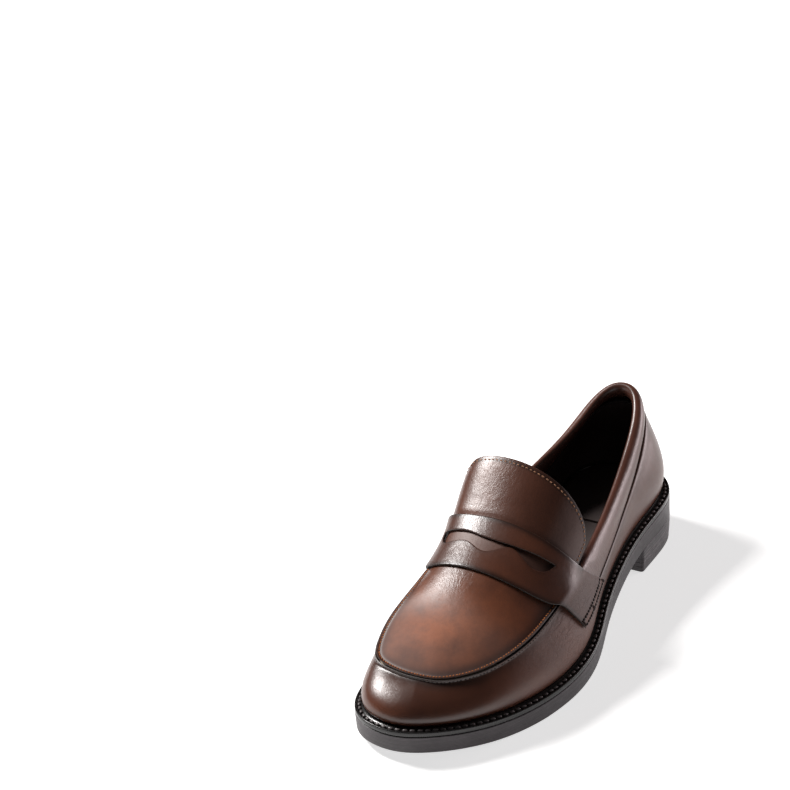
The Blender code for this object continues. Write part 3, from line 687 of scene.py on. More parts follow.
BROWN = leather("leather_brown", (0.124, 0.041, 0.021, 1), (0.086, 0.028, 0.0150, 1),
                (0.060, 0.0190, 0.0105, 1))
COLLAR = leather("leather_collar", (0.130, 0.048, 0.032, 1), (0.098, 0.035, 0.023, 1),
                 (0.072, 0.026, 0.018, 1), 0.32, (1.0, 1.0, 0.4))
LINING = leather("leather_lining", (0.034, 0.017, 0.013, 1), (0.024, 0.012, 0.010, 1),
                 (0.017, 0.009, 0.008, 1), 0.66, (1.0, 1.0, 1.0), False)
SOLE = rubber("sole_rubber", (0.032, 0.024, 0.027, 1), (0.056, 0.045, 0.050, 1), 0.42, 1.3)
HEEL = rubber("heel_stack", (0.034, 0.026, 0.030, 1), (0.062, 0.050, 0.055, 1), 0.42, 0.9, 0.5)
WELT = rubber("welt_gloss", (0.008, 0.007, 0.007, 1), (0.015, 0.013, 0.013, 1), 0.27)
# The rope beads are coloured grey, much lighter than the black welt: a painted highlight on black beads.
BEAD = rubber("welt_rope_painted_highlight", (0.085, 0.072, 0.072, 1), (0.125, 0.108, 0.106, 1), 0.34)
ORANGE = thread("thread_orange", (0.62, 0.22, 0.065, 1), (0.30, 0.09, 0.03, 1))
TAN = thread("thread_tan", (0.46, 0.24, 0.14, 1), (0.24, 0.11, 0.06, 1))
BARTACK = thread("thread_bar_tack", (0.030, 0.012, 0.008, 1), (0.012, 0.006, 0.004, 1))
DARK = thread("thread_dark", (0.014, 0.007, 0.006, 1), (0.006, 0.004, 0.003, 1))


def looks(burnish_and_shade, warm_and_highlight, crease, matt):
    """What a leather's material reads from its mesh: places darker from burnish and painted shade, redder
    places and painted highlights, wrinkled and duller places.
    """
    return {"burnish_and_shade": np.clip(burnish_and_shade, 0, 1), "warm_and_highlight": warm_and_highlight, "crease": crease, "matt": matt}


def finish_piece(item, body, slot, *nodes):
    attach(item, body)
    if nodes:
        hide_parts(*nodes)
    return item


# ---------------------------------------------------------------- upper

def front_grid(rear, rows, fan):
    """Ring positions of the outer and the inner side, row by row from the rear to the toe tip."""
    stations = np.linspace(rear, SPINE_END, rows)
    return [np.concatenate([u_side(stations, side),
                            np.linspace(u_side(SPINE_END, side), TOE_KNOT, fan)[1:]]) for side in (1, -1)]


def zipped(rows_total, half, first_fan_row):
    """Vertex numbers of a folded front grid: one ridge vertex per fan, last row zipped shut."""
    cols = 2 * half - 1
    index = np.arange(rows_total * cols).reshape(rows_total, cols)
    index[first_fan_row:, half - 1] = index[first_fan_row, half - 1]
    index[-1, half:] = index[-1, :half - 1][::-1]
    return index


def unfold(medial, lateral):
    """Two half tables joined along the ridge column that they share."""
    return np.concatenate([medial[:, ::-1], lateral[:, 1:]], 1)


def seam_normal(u):
    """Direction in which the apron seam stands up, at each ring position."""
    ring = top_ring(u)
    beside = 0.965
    along = unit(top_ring(u + TINY) - top_ring(u - TINY))
    inner = unit(crown(u, beside) - ring)
    outer = unit(wall(u, beside) - ring)
    first = np.cross(along, inner)
    second = np.cross(outer, along)
    first *= np.sign(first[:, 2:])
    second *= np.sign((second * first).sum(axis=1, keepdims=True))
    return unit(first + second)


def ridge_share(u):
    """How far the seam stands up: full in front of the strap, low beneath it."""
    edge = np.where(u < TOE_KNOT, 163.6, 170.5)
    return 0.25 + 0.75 * smooth((top_ring(u)[:, 1] - edge + 1.0) / 4.0)


def with_seam(points, u, share):
    """Points of a table with the seam's bead raised along its last columns."""
    rise = np.concatenate([np.zeros(points.shape[1] - len(SEAM_RISE)), SEAM_RISE])
    lift = rise[None, :] * share[:, None]
    return points + seam_normal(u)[:, None, :] * lift[..., None]


def build_apron():
    rows, fan, half = 70, 95, 34
    lateral, medial = front_grid(APRON_REAR, rows, fan)
    inner = np.linspace(1, 0, half - len(SEAM_RUN) + 1)[:-1] ** 0.9
    sheets = []
    runs = []
    for u in (medial, lateral):
        length = rib_length(u, True)[:, None]
        distance = np.concatenate([SEAM_RUN[0] + (length - SEAM_RUN[0]) * inner,
                                   np.broadcast_to(SEAM_RUN, (len(u), len(SEAM_RUN)))], 1)
        w = rib_param(u, distance, True)
        w[:, 0] = 0
        sheets.append(with_seam(ribs(u, w), u, ridge_share(u)))
        runs.append(distance)
    points = unfold(*sheets)
    distance = unfold(*runs)
    thick = rolled(distance - distance.min(), EDGE_ROLL)
    dent = ripple(points, 0.10, 3) * 0.10 * smooth((distance - 6) / 10)
    x, station = points[..., 0], points[..., 1]
    # Darkening painted on the apron: the band along the seam, stronger on the outer side, is partly burnish
    # and partly painted shade; toward and under the strap it is painted shade, deepest in the coin slot's
    # outer pocket; over the outer side it is painted shade.
    rear = smooth((186 - station) / 22)
    burnish_and_shade = 0.7 * bell(distance - 1.0, 4.0) * (0.3 + 0.7 * smooth((x + 24) / 28)) + 0.45 * rear
    burnish_and_shade = burnish_and_shade + 0.15 * smooth((x - 6) / 26)
    beneath = smooth((171 - station) / 4)
    burnish_and_shade = burnish_and_shade * (1 - beneath) + beneath * (0.12 + 0.55 * smooth((x + 6) / 16))
    matt = smooth((station - 183) / 30) * smooth((distance - 0.8) / 3) + 0.5 * beneath
    warm_and_highlight = 0.34 + 0.95 * bell(x + 12, 19) * bell(station - 208, 17)
    warm_and_highlight = warm_and_highlight * smooth((distance - 1.5) / 6.0) * (1 - 0.6 * rear)
    crease = 0.10 + 0.3 * bell(x + 14, 11) * bell(station - 180, 11)
    middle = LEATHER_MID + dent
    # The apron's cut edges are painted dark mostly on their inner face: along the raised seam this is a
    # painted shade in the gap between the two edges, while the edges' tops keep most of the leather colour.
    item = solid_grid("apron_leather", points, middle + 0.5 * thick, middle - 0.5 * thick, BROWN,
                      remap=zipped(len(lateral), half, rows - 1), paint=(0.25, 1.0),
                      attributes=looks(burnish_and_shade, warm_and_highlight, crease, matt))
    finish_piece(item, "shoe", "leather", "apron")


def collar_share(u):
    """1 along the collar, 0 along the apron seam."""
    s = top_ring(u)[:, 1]
    return 1 - smooth((s - 137.6) / 6.0)


def build_wall():
    past = 26
    u = np.concatenate([np.linspace(0.0035, KNOTS[3], 40)[:-1], np.linspace(KNOTS[3], KNOTS[25], 460),
                        np.linspace(KNOTS[25], 0.9965, 40)[1:]])
    length = rib_length(u, False)[:, None]
    rear = collar_share(u)[:, None]
    groove = np.array([8.0, 5.5, 3.9, 2.8, 2.0, 1.4, 0.95, 0.6, 0.35, 0.22])
    near = SEAM_RUN * (1 - rear) + (groove + collar_width(u)[:, None]) * rear
    low = np.linspace(0, 1, past + 1)[:-1]
    distance = np.concatenate([length + (near[:, :1] - length) * low, near], 1)
    w = rib_param(u, distance, False)
    w[:, 0] = 2
    points = with_seam(ribs(u, w), u, ridge_share(u) * (1 - rear[:, 0]))
    gap = distance - distance.min(axis=1, keepdims=True)
    thick = rolled(gap, EDGE_ROLL)
    sunk = -0.45 * bell(gap, 0.6) * rear
    swell = 0.15 * bell(gap - 3.0, 2.0) * rear
    x, station = points[..., 0], points[..., 1]
    foot = length - distance
    tuck = -0.5 * bell(foot, 1.6)
    fold = ripple(points, 0.075, 9) * 0.16 * smooth(foot / 8) * smooth((gap - 4) / 6)
    middle = sunk + swell + tuck + fold + LEATHER_MID
    # Darkening painted on the wall, partly burnish and partly painted shade: along the apron seam and the
    # collar groove, at the foot where the wall tucks into the welt, and over the toe except on its inner
    # side.
    burnish_and_shade = 0.75 * bell(gap, 4.0) * (1 - 0.4 * rear) + 0.45 * bell(foot, 5.0)
    burnish_and_shade = burnish_and_shade + 0.45 * smooth((station - 200) / 40) * smooth((x + 30) / 30)
    crease = 0.08 + 0.9 * bell(station - 166, 16) * smooth(x / 30)
    matt = smooth((x - 24) / 12) * (0.25 + 0.35 * bell(station - 165, 30))
    # The wall's cut edges are painted dark only on their inner face: along the raised apron seam this is a
    # painted shade in the gap between the two edges, while the edges' tops keep the leather colour.
    item = solid_grid("side_wall_leather", points, middle + 0.5 * thick, middle - 0.5 * thick, BROWN,
                      attributes=looks(burnish_and_shade, 0.0, crease, matt), paint=(0.0, 1.0))
    finish_piece(item, "shoe", "leather", "side_wall")


def seam_path(u, out_mm, rise, beside):
    """Path beside the raised apron seam, on the crown or the wall, and the direction away from it."""
    ring = top_ring(u)
    toward = unit(beside(u, 0.96) - ring)
    return ring + toward * out_mm + seam_normal(u) * rise, toward


def build_seam_stitches():
    u = np.linspace(u_side(165.0, 1), u_side(172.0, -1), 900)
    for beside, rise, name, pitch, size, material, jitter, seed, nodes in (
            (crown, 0.42, "apron_seam_stitches", 1.7, (1.05, 0.75, 0.66), ORANGE, 0.16, 4,
             ["apron_seam_thread"]),
            (wall, 0.38, "wall_seam_stitches", 2.1, (1.2, 0.6, 0.55), DARK, 0.2, 7, [])):
        path, away = seam_path(u, 1.62, rise, beside)
        up = unit(away + seam_normal(u))
        row = stitch_row(name, path, up, pitch, size, material, jitter=jitter, seed=seed)
        finish_piece(row, "shoe", "thread_brown", *nodes)


def build_collar():
    """Padded band rolled over the edge of the opening."""
    count = 420
    u = round_heel(*COLLAR_END, count)
    run, height = np.array(COLLAR_SECTION).T
    sides = len(run)
    plump = smooth((131.0 - top_ring(u)[:, 1]) / 16.0)[:, None]
    drawn_width = 13.0
    stretch = collar_width(u)[:, None] / drawn_width
    stretch = np.where(height > -1.5, stretch, np.minimum(stretch, 1.0))
    w = rib_param(u, np.clip(run, 0, None) * stretch, False)
    base = ribs(u, w)
    up = unit(ribs(u, np.clip(w - 0.01, 1, 2)) - ribs(u, np.clip(w + 0.01, 1, 2)))
    normal = unit(np.cross(ribs(u + TINY, w) - ribs(u - TINY, w), up))
    if ((base - base.mean(axis=(0, 1))) * normal).sum() < 0:
        normal = -normal
    outward = np.where(height > 0.2, 0.2 + (height - 0.2) * plump, height)
    points = base + normal * outward[..., None] + up * np.clip(-run, 0, None)[None, :, None]
    points = points + normal * (ripple(points, 0.16, 21) * 0.10 * plump)[..., None]
    index = np.arange(count * sides).reshape(count, sides)
    quads = grid_quads(index, close_columns=True).reshape(-1, 4)
    flat = points.reshape(-1, 3)
    caps = []
    for row in (0, count - 1):
        ring = index[row]
        hub = np.full(sides, len(flat))
        flat = np.concatenate([flat, flat[ring].mean(axis=0)[None]])
        cap = np.stack([ring, np.roll(ring, -1), hub, hub], -1)
        caps.append(cap if row else cap[:, ::-1])
    # Darkening painted on the band: along its lower edge in the seam groove, partly burnish and partly
    # painted shade; over its inner face inside the opening, painted shade.
    burnish_and_shade = 0.35 * bell(run - 12.5, 2.0) + 0.5 * (height < -2.0)
    burnish_and_shade = np.concatenate([np.tile(burnish_and_shade, count), [0.5, 0.5]])
    station = np.concatenate([points[..., 1].reshape(-1), [137, 137]])
    crease = 0.10 + 0.45 * smooth((station - 85) / 40)
    item = add_mesh("collar_band_padded", flat, [quads] + caps, COLLAR,
                    {"burnish_and_shade": burnish_and_shade, "warm_and_highlight": 0 * burnish_and_shade, "crease": crease, "edge": 0 * burnish_and_shade})
    finish_piece(item, "shoe", "leather_dark", "collar_band")
    u = round_heel(COLLAR_ROW_END, COLLAR_ROW_END, 900)
    path = ribs(u, rib_param(u, collar_width(u)[:, None] + 0.02, False))[:, 0]
    normal = np.column_stack([inset(u, 0.0)[1], np.zeros(len(u))])
    rows = stitch_row("collar_seam_stitches", path, normal, 2.3, (1.95, 0.55, 0.5), DARK, sink=0.12,
                      jitter=0.05, seed=5)
    finish_piece(rows, "shoe", "thread_dark", "collar_stitch")


def build_lining():
    rows, fan = 30, 40
    lateral, medial = front_grid(LINING_SPLIT[0], rows, fan)
    w = np.concatenate([np.linspace(0, 1, 16), np.linspace(1, 1.985, 16)[1:]])
    points = unfold(*(ribs(u, np.broadcast_to(w, (len(u), len(w)))) for u in (medial, lateral)))
    item = solid_grid("vamp_lining_leather", points, *LINING_FACES, LINING, attributes={"crease": 0.1},
                      remap=zipped(len(lateral), len(w), rows - 1))
    finish_piece(item, "shoe", "lining", "vamp_lining")
    u = round_heel(LINING_SPLIT[1], LINING_SPLIT[1], 220)
    start = (0.6 + 9.8 * collar_share(u))[:, None]
    distance = start + (rib_length(u, False)[:, None] - 0.8 - start) * np.linspace(0, 1, 18)
    points = ribs(u, rib_param(u, distance, False))
    item = solid_grid("quarter_lining_leather", points, *LINING_FACES, LINING, attributes={"crease": 0.1})
    finish_piece(item, "shoe", "lining", "quarter_lining")


def build_back_strip():
    half, reach, cols, rows = 5.5, 0.0105, 15, 40
    u = np.linspace(-reach, reach, cols)
    length = rib_length(np.array([0.0]), False)[0]
    top_gap = COLLAR_WIDTH[1][0]
    distance = np.broadcast_to(np.linspace(top_gap + 0.1, length - 1.0, rows), (cols, rows))
    points = ribs(u, rib_param(u, distance, False))
    across = np.abs(np.linspace(-1, 1, cols))[:, None] * half
    thick = rolled(half - across + 0 * distance, 0.8)
    item = solid_grid("back_strip_leather", points, 0.85 + 0.5 * thick, 0.85 - 0.5 * thick, BROWN,
                      attributes={"burnish_and_shade": 0.25, "warm_and_highlight": 0.0, "crease": 0.1})
    finish_piece(item, "shoe", "leather", "back_strip")
    for k, (side, nodes) in enumerate(((-1, ["back_strip_stitch"]), (1, []))):
        at = np.full(60, side * 0.0072)
        run = np.linspace(top_gap + 1.3, length - 2.0, len(at))
        line = dome(at, rib_param(at, run[:, None], False)[:, 0])
        normal = unit(np.tile([side * 0.25, -1.0, 0.15], (len(at), 1)))
        row = stitch_row(f"back_strip_stitches_{k}", line + normal * 1.42, normal, 2.6, (1.7, 0.45, 0.45),
                         DARK, seed=k)
        finish_piece(row, "shoe", "thread_dark", *nodes)


def strap_station(q, share):
    return strap_rear(q) * (1 - share) + strap_front(q) * share


def draped(q, s):
    """Skin with the corner at the apron seam rounded off, as a strap lies over it."""
    spread = 0.17 * bell(np.abs(q) - 1.0, 0.2)
    steps = np.linspace(-1, 1, 9)
    weights = 1 - 0.8 * steps ** 2
    return sum(w * hoop(q + spread * k, s) for k, w in zip(steps, weights)) / weights.sum()


def strap_offset(q, share):
    """Height of the strap's underside over the skin beneath it."""
    rise, reach = SEAM_BRIDGE
    bridge = rise * bell(np.abs(q) - 1.0, reach) * (0.55 + 0.45 * smooth((share - 0.15) / 0.5))
    arch, (q_at, q_reach), (share_at, share_reach) = SLOT_ARCH
    bridge = bridge + arch * bell(q - q_at, q_reach) * bell(share - share_at, share_reach)
    return STRAP_GAP + bridge * (1 - 0.6 * smooth((np.abs(q) - 1.2) / 0.15))


def strap_skive(q, from_rear):
    """How far the strap is thinned: at its rear corner over the seam, and at its outer end."""
    corner = smooth((q - 0.94) / 0.1) * (1 - smooth(from_rear / 7.0))
    return np.maximum(corner, 0.72 * (1 - smooth((1 + STRAP_END[1] - q) / 0.11)))


def strap_edges(q):
    """Rear and front edge of the coin slot as shares of the strap's width, closed beyond its ends."""
    where = np.clip(q, SLOT_KEYS[0], SLOT_KEYS[-1])
    rear = slot_rear(where)
    front = np.maximum(slot_front(where), rear + 0.02)
    settle = np.exp(-np.clip(np.maximum(SLOT_KEYS[0] - q, q - SLOT_KEYS[-1]), 0, None) / 0.12)
    rear = 0.33 + (rear - 0.33) * settle
    return rear, rear + (front - rear) * settle


def build_strap():
    """Saddle strap with its coin slot, cut edges and skived rear corner."""
    low_end, high_end = -1 - STRAP_END[0], 1 + STRAP_END[1]
    cut = np.array([0, 0.003, 0.008, 0.016])
    q = np.concatenate([low_end + cut, np.linspace(low_end + 0.03, SLOT_KEYS[0], 50)[:-1],
                        np.linspace(SLOT_KEYS[0], SLOT_KEYS[-1], 150),
                        np.linspace(SLOT_KEYS[-1], high_end - 0.03, 56)[1:], high_end - cut[::-1]])
    inside = (q >= SLOT_KEYS[0] - 1e-9) & (q <= SLOT_KEYS[-1] + 1e-9)
    rear, front = strap_edges(q)
    width = (np.abs(strap_front(q) - strap_rear(q)) * 1.07)[:, None]
    near = np.array([0.0, 0.12, 0.35, 0.75, 1.3])
    columns = []
    gaps = []
    for low, high, count in ((0 * q, rear, 6), (front, 0 * q + 1, 10)):
        low, high = low[:, None], high[:, None]
        start = low + near[-1] / width
        stop = high - near[-1] / width
        block = np.concatenate([low + near / width, start + (stop - start) * np.linspace(0, 1, count)[1:-1],
                                (high - near / width)[:, ::-1]], 1)
        columns.append(block)
        gaps.append(np.minimum(block - low, high - block) * width)
    share = np.concatenate(columns, 1)
    outer_gap = np.minimum(share, 1 - share) * width
    gap = np.where(inside[:, None], np.concatenate(gaps, 1), outer_gap)
    gap = np.minimum(gap, np.minimum(q - low_end, high_end - q)[:, None] * 32.0)
    hole = np.zeros(share.shape, bool)
    rows = np.where(inside)[0]
    hole[rows[0]:rows[-1], columns[0].shape[1] - 1] = True
    q = np.broadcast_to(q[:, None], share.shape)
    points = draped(q, strap_station(q, share))
    skive = strap_skive(q, share * width)
    middle = strap_offset(q, share) - SKIVE_DROP * skive + STRAP_T / 2 - 0.05 * bell(gap, 2.0)
    half = STRAP_T * (1 - SKIVED * skive) / 2 * rolled(gap, 0.45)
    # Darkening painted on the strap: along its cut edges and round the coin slot, partly burnish and partly
    # painted shade; over its outer half and down its outer end, painted shade.
    burnish_and_shade = 0.55 * bell(outer_gap, 2.2) + 0.35 * bell(gap, 1.6)
    burnish_and_shade = burnish_and_shade + 0.22 + 0.20 * smooth((q - 0.15) / 0.5) * (1 - smooth((q - 0.95) / 0.15))
    burnish_and_shade = (burnish_and_shade + 0.25 * smooth((q - 1.0) / 0.15)) * (1 - SKIVED * skive)
    # The band between the two stitch rows at the outer end is painted lighter and redder: a painted
    # highlight on the raised leather between the rows.
    warm_and_highlight = 0.12 * bell(q - 0.3, 0.3) + 0.35 * bell(high_end - q - 0.085, 0.025)
    crease = 0.10 + 0.7 * smooth((q - 0.95) / 0.2) + 0.3 * bell(q + 0.25, 0.2)
    matt = 0.02 + 0.7 * smooth((q - 0.85) / 0.25)
    item = solid_grid("saddle_strap_leather", points, middle + half, middle - half, BROWN, hole=hole,
                      attributes=looks(burnish_and_shade, warm_and_highlight, crease, matt), paint=(1 - skive, 1 - 0.6 * skive))
    finish_piece(item, "shoe", "leather", "saddle_strap")
    for name, side, end in (("lateral", 1, STRAP_END[1]), ("medial", -1, STRAP_END[0])):
        for tag, inner, nodes in (("outer", 0.035, [f"strap_stitch_{name}"]), ("inner", 0.140, [])):
            shares = np.linspace(0.03, 0.965, 80)
            line, normal = strap_surface(np.full(80, side * (1 + end - inner)), shares)
            row = stitch_row(f"strap_end_stitches_{name}_{tag}", line, normal, 2.3, (1.85, 1.35, 0.9), DARK,
                             sink=-0.05, jitter=0.07, seed=11)
            finish_piece(row, "shoe", "thread_brown", *nodes)
        for tag, share, low, high in (("rear", 0.05, -0.015, 0.085), ("middle", 0.62, 0.010, 0.110),
                                      ("front", 0.975, 0.035, 0.150)):
            across = side * (1 + end - np.linspace(low, high, 12))
            line, normal = strap_surface(across, np.full(12, share))
            row = stitch_row(f"strap_bar_tack_{name}_{tag}", line, normal, 0.75, (0.62, 1.6, 0.7), BARTACK,
                             sink=-0.04, jitter=0.1, seed=13)
            finish_piece(row, "shoe", "thread_brown")


def face_normal(face, q, t, step, core):
    """Normals of the surface face(q, t), pointing away from the core."""
    across = face(q + step, t) - face(q - step, t)
    along = face(q, t + step) - face(q, t - step)
    normal = unit(np.cross(across, along))
    return normal * np.sign(((face(q, t) - core) * normal).sum(axis=1))[:, None]


def strap_surface(q, share):
    """Point on top of the strap and the normal there."""
    def face(q, share):
        return draped(q, strap_station(q, share))

    usual_width = 30.0
    here = face(q, share)
    core = here * [0, 1, 0] + [-4.0, 0, 38.0]
    normal = face_normal(face, q, share, 0.004, core)
    skive = strap_skive(q, share * usual_width)
    top = strap_offset(q, share) - SKIVE_DROP * skive + STRAP_T * (1 - SKIVED / 2 * skive)
    return here + normal * top[:, None], normal


def tongue_point(q, depth):
    """Tongue face: depth 0 at the root behind the strap, 1 at the free edge, below 0 under the strap."""
    q, depth = np.broadcast_arrays(np.asarray(q, float), np.asarray(depth, float))
    edge = TONGUE_TOP + EDGE_DROP * np.abs(q) ** 6
    root = np.minimum(TONGUE_ROOT, strap_rear(q) - 1.2)
    s = root + np.where(depth < 0, (root - TONGUE_FOOT) * depth / TONGUE_UNDER, (edge - root) * depth)
    point = hoop(q, s)
    high, over, inward = TUCK
    point[..., 0] -= np.sign(q) * inward * smooth((high - point[..., 2]) / over)
    return point


def tongue_columns(count):
    """Values of q spaced evenly along the tongue's section, and their distance to its side edges."""
    q = np.linspace(-TONGUE_SIDE, TONGUE_SIDE, 1500)
    run = run_along(tongue_point(q, 0.6))
    cut = np.array([0, 0.15, 0.4, 0.8])
    even = np.concatenate([cut, np.linspace(0, run[-1], count)[1:-1], run[-1] - cut[::-1]])
    return np.interp(even, run, q), np.minimum(even, run[-1] - even)


def build_tongue():
    q, side_gap = tongue_columns(120)
    depth = np.concatenate([np.linspace(-TONGUE_UNDER, 0.92, 44), [0.945, 0.965, 0.98, 0.99, 0.996, 1.0]])
    points = tongue_point(q[:, None], depth[None, :])
    first_free = 8
    rows = np.linalg.norm(points[:, -1] - points[:, first_free], axis=1)
    gap = np.minimum((1 - depth)[None, :] * rows[:, None], side_gap[:, None])
    thick = rolled(gap, 0.7)
    x = points[..., 0]
    middle = -0.45 * smooth((0.06 - depth) / 0.12)[None, :] + ripple(points, 0.12, 17) * 0.12
    # Darkening painted on the tongue: along its cut edge and its stitch row, partly burnish and partly
    # painted shade; across its outer side, painted shade.
    burnish_and_shade = 0.35 * bell(gap, 2.5) + 0.9 * bell(gap - TONGUE_ROW_IN, 0.75)
    burnish_and_shade = burnish_and_shade + 0.12 + 0.5 * smooth((x + 10) / 26)
    warm_and_highlight = 0.25 * bell(x + 22, 12)
    crease = 0.10 + 0.2 * bell(x + 16, 13)
    matt = 0.02 + 0.9 * smooth((x - 14) / 9)
    for piece, name, slot, sunk, half, material, data in (
            ("tongue_leather", "tongue", "leather", -0.5, 0.6, BROWN, looks(burnish_and_shade, warm_and_highlight, crease, matt)),
            ("tongue_lining_leather", "tongue_lining", "lining", -1.75, 0.35, LINING, {"crease": 0.1})):
        item = solid_grid(piece, points, middle + sunk + half * thick, middle + sunk - half * thick,
                          material, attributes=data)
        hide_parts(name)
        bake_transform(item)
    left, right, corner_depth, top_steps, side_steps = -0.93, 0.90, 0.86, 260, 40
    q_line = np.concatenate([np.full(side_steps, left), np.linspace(left, right, top_steps),
                             np.full(side_steps, right)])
    rise = np.linspace(0.12, corner_depth, side_steps + 1)[:-1]
    length = np.interp(q_line, q, rows)
    top_depth = 1 - TONGUE_ROW_IN / np.maximum(length, 8)
    corner = corner_depth + (top_depth - corner_depth) * smooth((0.93 - np.abs(q_line)) / 0.05)
    d_line = np.concatenate([rise, corner[side_steps:-side_steps], rise[::-1]])
    normal = face_normal(tongue_point, q_line, d_line, 1e-3, np.array([-5.0, 134.0, 58.0]))
    path = tongue_point(q_line, d_line) + normal * 0.14
    row = stitch_row("tongue_edge_stitches", path, normal, 2.5, (1.6, 0.75, 0.55), TAN, jitter=0.08, seed=2)
    finish_piece(row, "tongue_flap", "thread_brown", "tongue_stitch")


# ---------------------------------------------------------------- bottom

def sole_loop(side_rows, toe_rows, heel_rows, rear=26.0, front=236.0):
    """Outline positions round the sole, with the ridge vertex each one shares."""
    stations = np.linspace(rear, front, side_rows)
    lateral = u_side(stations, 1, LOW_SIDES)
    medial = u_side(stations, -1, LOW_SIDES)
    toe = np.linspace(lateral[-1], medial[-1], toe_rows)[1:-1]
    heel = np.linspace(medial[0] - 1, lateral[0], heel_rows)[1:-1]
    u = np.concatenate([lateral, toe, medial[::-1], heel])
    along = np.arange(side_rows)
    mate = np.concatenate([along, np.full(len(toe), side_rows - 1), along[::-1], np.zeros(len(heel), int)])
    return u, mate, stations


def rims(u, profile, height):
    """Loops round the outline, each moved inward, at a height worked out from its stations."""
    loops = []
    for distance, *details in profile:
        flat, _ = inset(u, distance)
        loops.append(np.column_stack([flat, height(flat[:, 1], *details)]))
    return loops


def slab(name, rings, stations, mate, top, bottom, material, centre=None):
    """Closed plate from rings of (x, s, z) points, filled towards a line of shared vertices."""
    if centre is None:
        left, right = (outline(u_side(stations, side, LOW_SIDES))[:, 0] for side in (-1, 1))
        centre = np.column_stack([(left + right) / 2, stations])

    def loops(rim, height):
        """Loops between a face's centre line and its rim, the inner one first."""
        flats = [centre[mate] + (rim[:, :2] - centre[mate]) * share for share in (0.45, 0.8)]
        return [np.column_stack([flat, height(flat[:, 1])]) for flat in flats]

    count = rings[0].shape[0]
    stack = loops(rings[0], top) + list(rings) + loops(rings[-1], bottom)[::-1]
    hub_top, hub_bottom = (np.column_stack([centre, height(centre[:, 1])]) for height in (top, bottom))
    points = np.concatenate([hub_top] + stack + [hub_bottom])
    first = len(hub_top)
    index = [mate] + [first + k * count + np.arange(count) for k in range(len(stack))]
    index.append(first + len(stack) * count + mate)
    quads = grid_quads(np.stack(index, 1), close_rows=True).reshape(-1, 4)
    quads, _ = turned_out(points, quads)
    return add_mesh(name, points, [quads], material, {"edge": np.zeros(len(points))}, 42.0)


def build_outsole():
    u, mate, stations = sole_loop(180, 120, 110)
    lines = 30
    profile = [(0.9, 0.0, 0.0), (0.35, 0.0, -0.03), (0.08, 0.0, -0.22), (0.0, 0.0, -0.5)]
    for k in range(1, lines):
        t = k / lines
        profile.append(((0.10 if k % 3 == 0 else 0.0) + 0.25 * t, t, -0.5 * (1 - t) + 0.7 * t))
    profile += [(0.28, 1.0, 0.7), (0.42, 1.0, 0.3), (0.75, 1.0, 0.05), (1.4, 1.0, 0.0), (5.0, 1.0, 0.0)]

    def upper(s):
        return welt_top(s) - WELT_T - 0.1

    def lower(s):
        return np.maximum(sole_bottom(s), 0.0)

    rings = rims(u, profile, lambda s, t, shift: upper(s) * (1 - t) + lower(s) * t + shift)
    item = slab("outsole_rubber", rings, stations, mate, upper, lower, SOLE)
    finish_piece(item, "shoe", "outsole", "outsole")


def build_welt():
    u = np.linspace(0, 1, 901)[:-1]
    points = np.stack(rims(u, WELT_SECTION, lambda s, rise: welt_top(s) + rise), 1)
    count = len(WELT_SECTION)
    outer_face = 4
    index = np.arange(len(u) * count).reshape(len(u), count)
    quads = grid_quads(index, True, True).reshape(-1, 4)
    normals = grid_normals(points.reshape(-1, 3), quads)
    side = unit(np.column_stack([inset(u, 0)[1], np.zeros(len(u))]))
    if (normals.reshape(len(u), count, 3)[:, outer_face] * side).sum() < 0:
        quads = quads[:, ::-1]
    item = add_mesh("welt_strip", points.reshape(-1, 3), [quads], WELT, sharp=60.0)
    finish_piece(item, "shoe", "welt", "welt")
    path, = rims(u, ((2.55,),), welt_top)
    up = np.tile([0.0, 0.0, 1.0], (len(u), 1))
    beads = stitch_row("welt_rope_beads", path, up, 3.9, (3.1, 1.7, 1.5), BEAD, sink=0.30, tilt=0.12,
                       jitter=0.05, seed=6, closed=True, resolution=(12, 9))
    finish_piece(beads, "shoe", "thread_dark", "welt_stitch")


def heel_outline(distance, count=220):
    """D-shaped heel section: the sole's outline closed by a straight breast with small corners."""
    corner = 1.6
    rear = HEEL_FRONT - distance - corner
    arc, _ = inset(round_heel(rear, rear, count, LOW_SIDES), distance)
    turn = np.linspace(0, math.pi / 2, 6)[1:]
    bend = np.column_stack([corner - corner * np.cos(turn), corner * np.sin(turn)])
    right = arc[-1] + bend * [-1, 1]
    left = (arc[0] + bend)[::-1]
    return np.concatenate([arc, right, np.linspace(right[-1], left[0], 24)[1:-1], left])


def build_heel():
    pieces = (("heel_lift_upper_stack", "heel_lift_upper", "stack", HEEL, 9.3, None, 0.25),
              ("heel_lift_middle_stack", "heel_lift_middle", "stack", HEEL, 6.45, 9.25, 0.5),
              ("heel_lift_lower_stack", "heel_lift_lower", "stack", HEEL, 3.55, 6.4, 0.75),
              ("heel_top_piece_rubber", "heel_top_piece", "outsole", SOLE, 0.0, 3.5, 1.05))
    centre = np.array([[0.0, 33.0]])
    levels = 12
    for name, node_name, slot, material, low, high, draw in pieces:

        def upper(s, high=high):
            return np.full(len(s), high) if high else sole_bottom(s) - 0.05

        def lower(s, low=low):
            return np.full(len(s), low)

        rings = []
        for k in range(levels + 1):
            t = k / levels
            edge = 0.22 * (math.exp(-(t / 0.03)) + math.exp(-((1 - t) / 0.03)))
            groove = 0.09 if k in (4, 8) else 0.0
            flat = heel_outline(draw + edge + groove + 0.18 * t)
            rings.append(np.column_stack([flat, upper(flat[:, 1]) * (1 - t) + low * t]))
        item = slab(name, rings, None, np.zeros(len(rings[0]), int), upper, lower, material, centre)
        finish_piece(item, "shoe", slot, node_name)


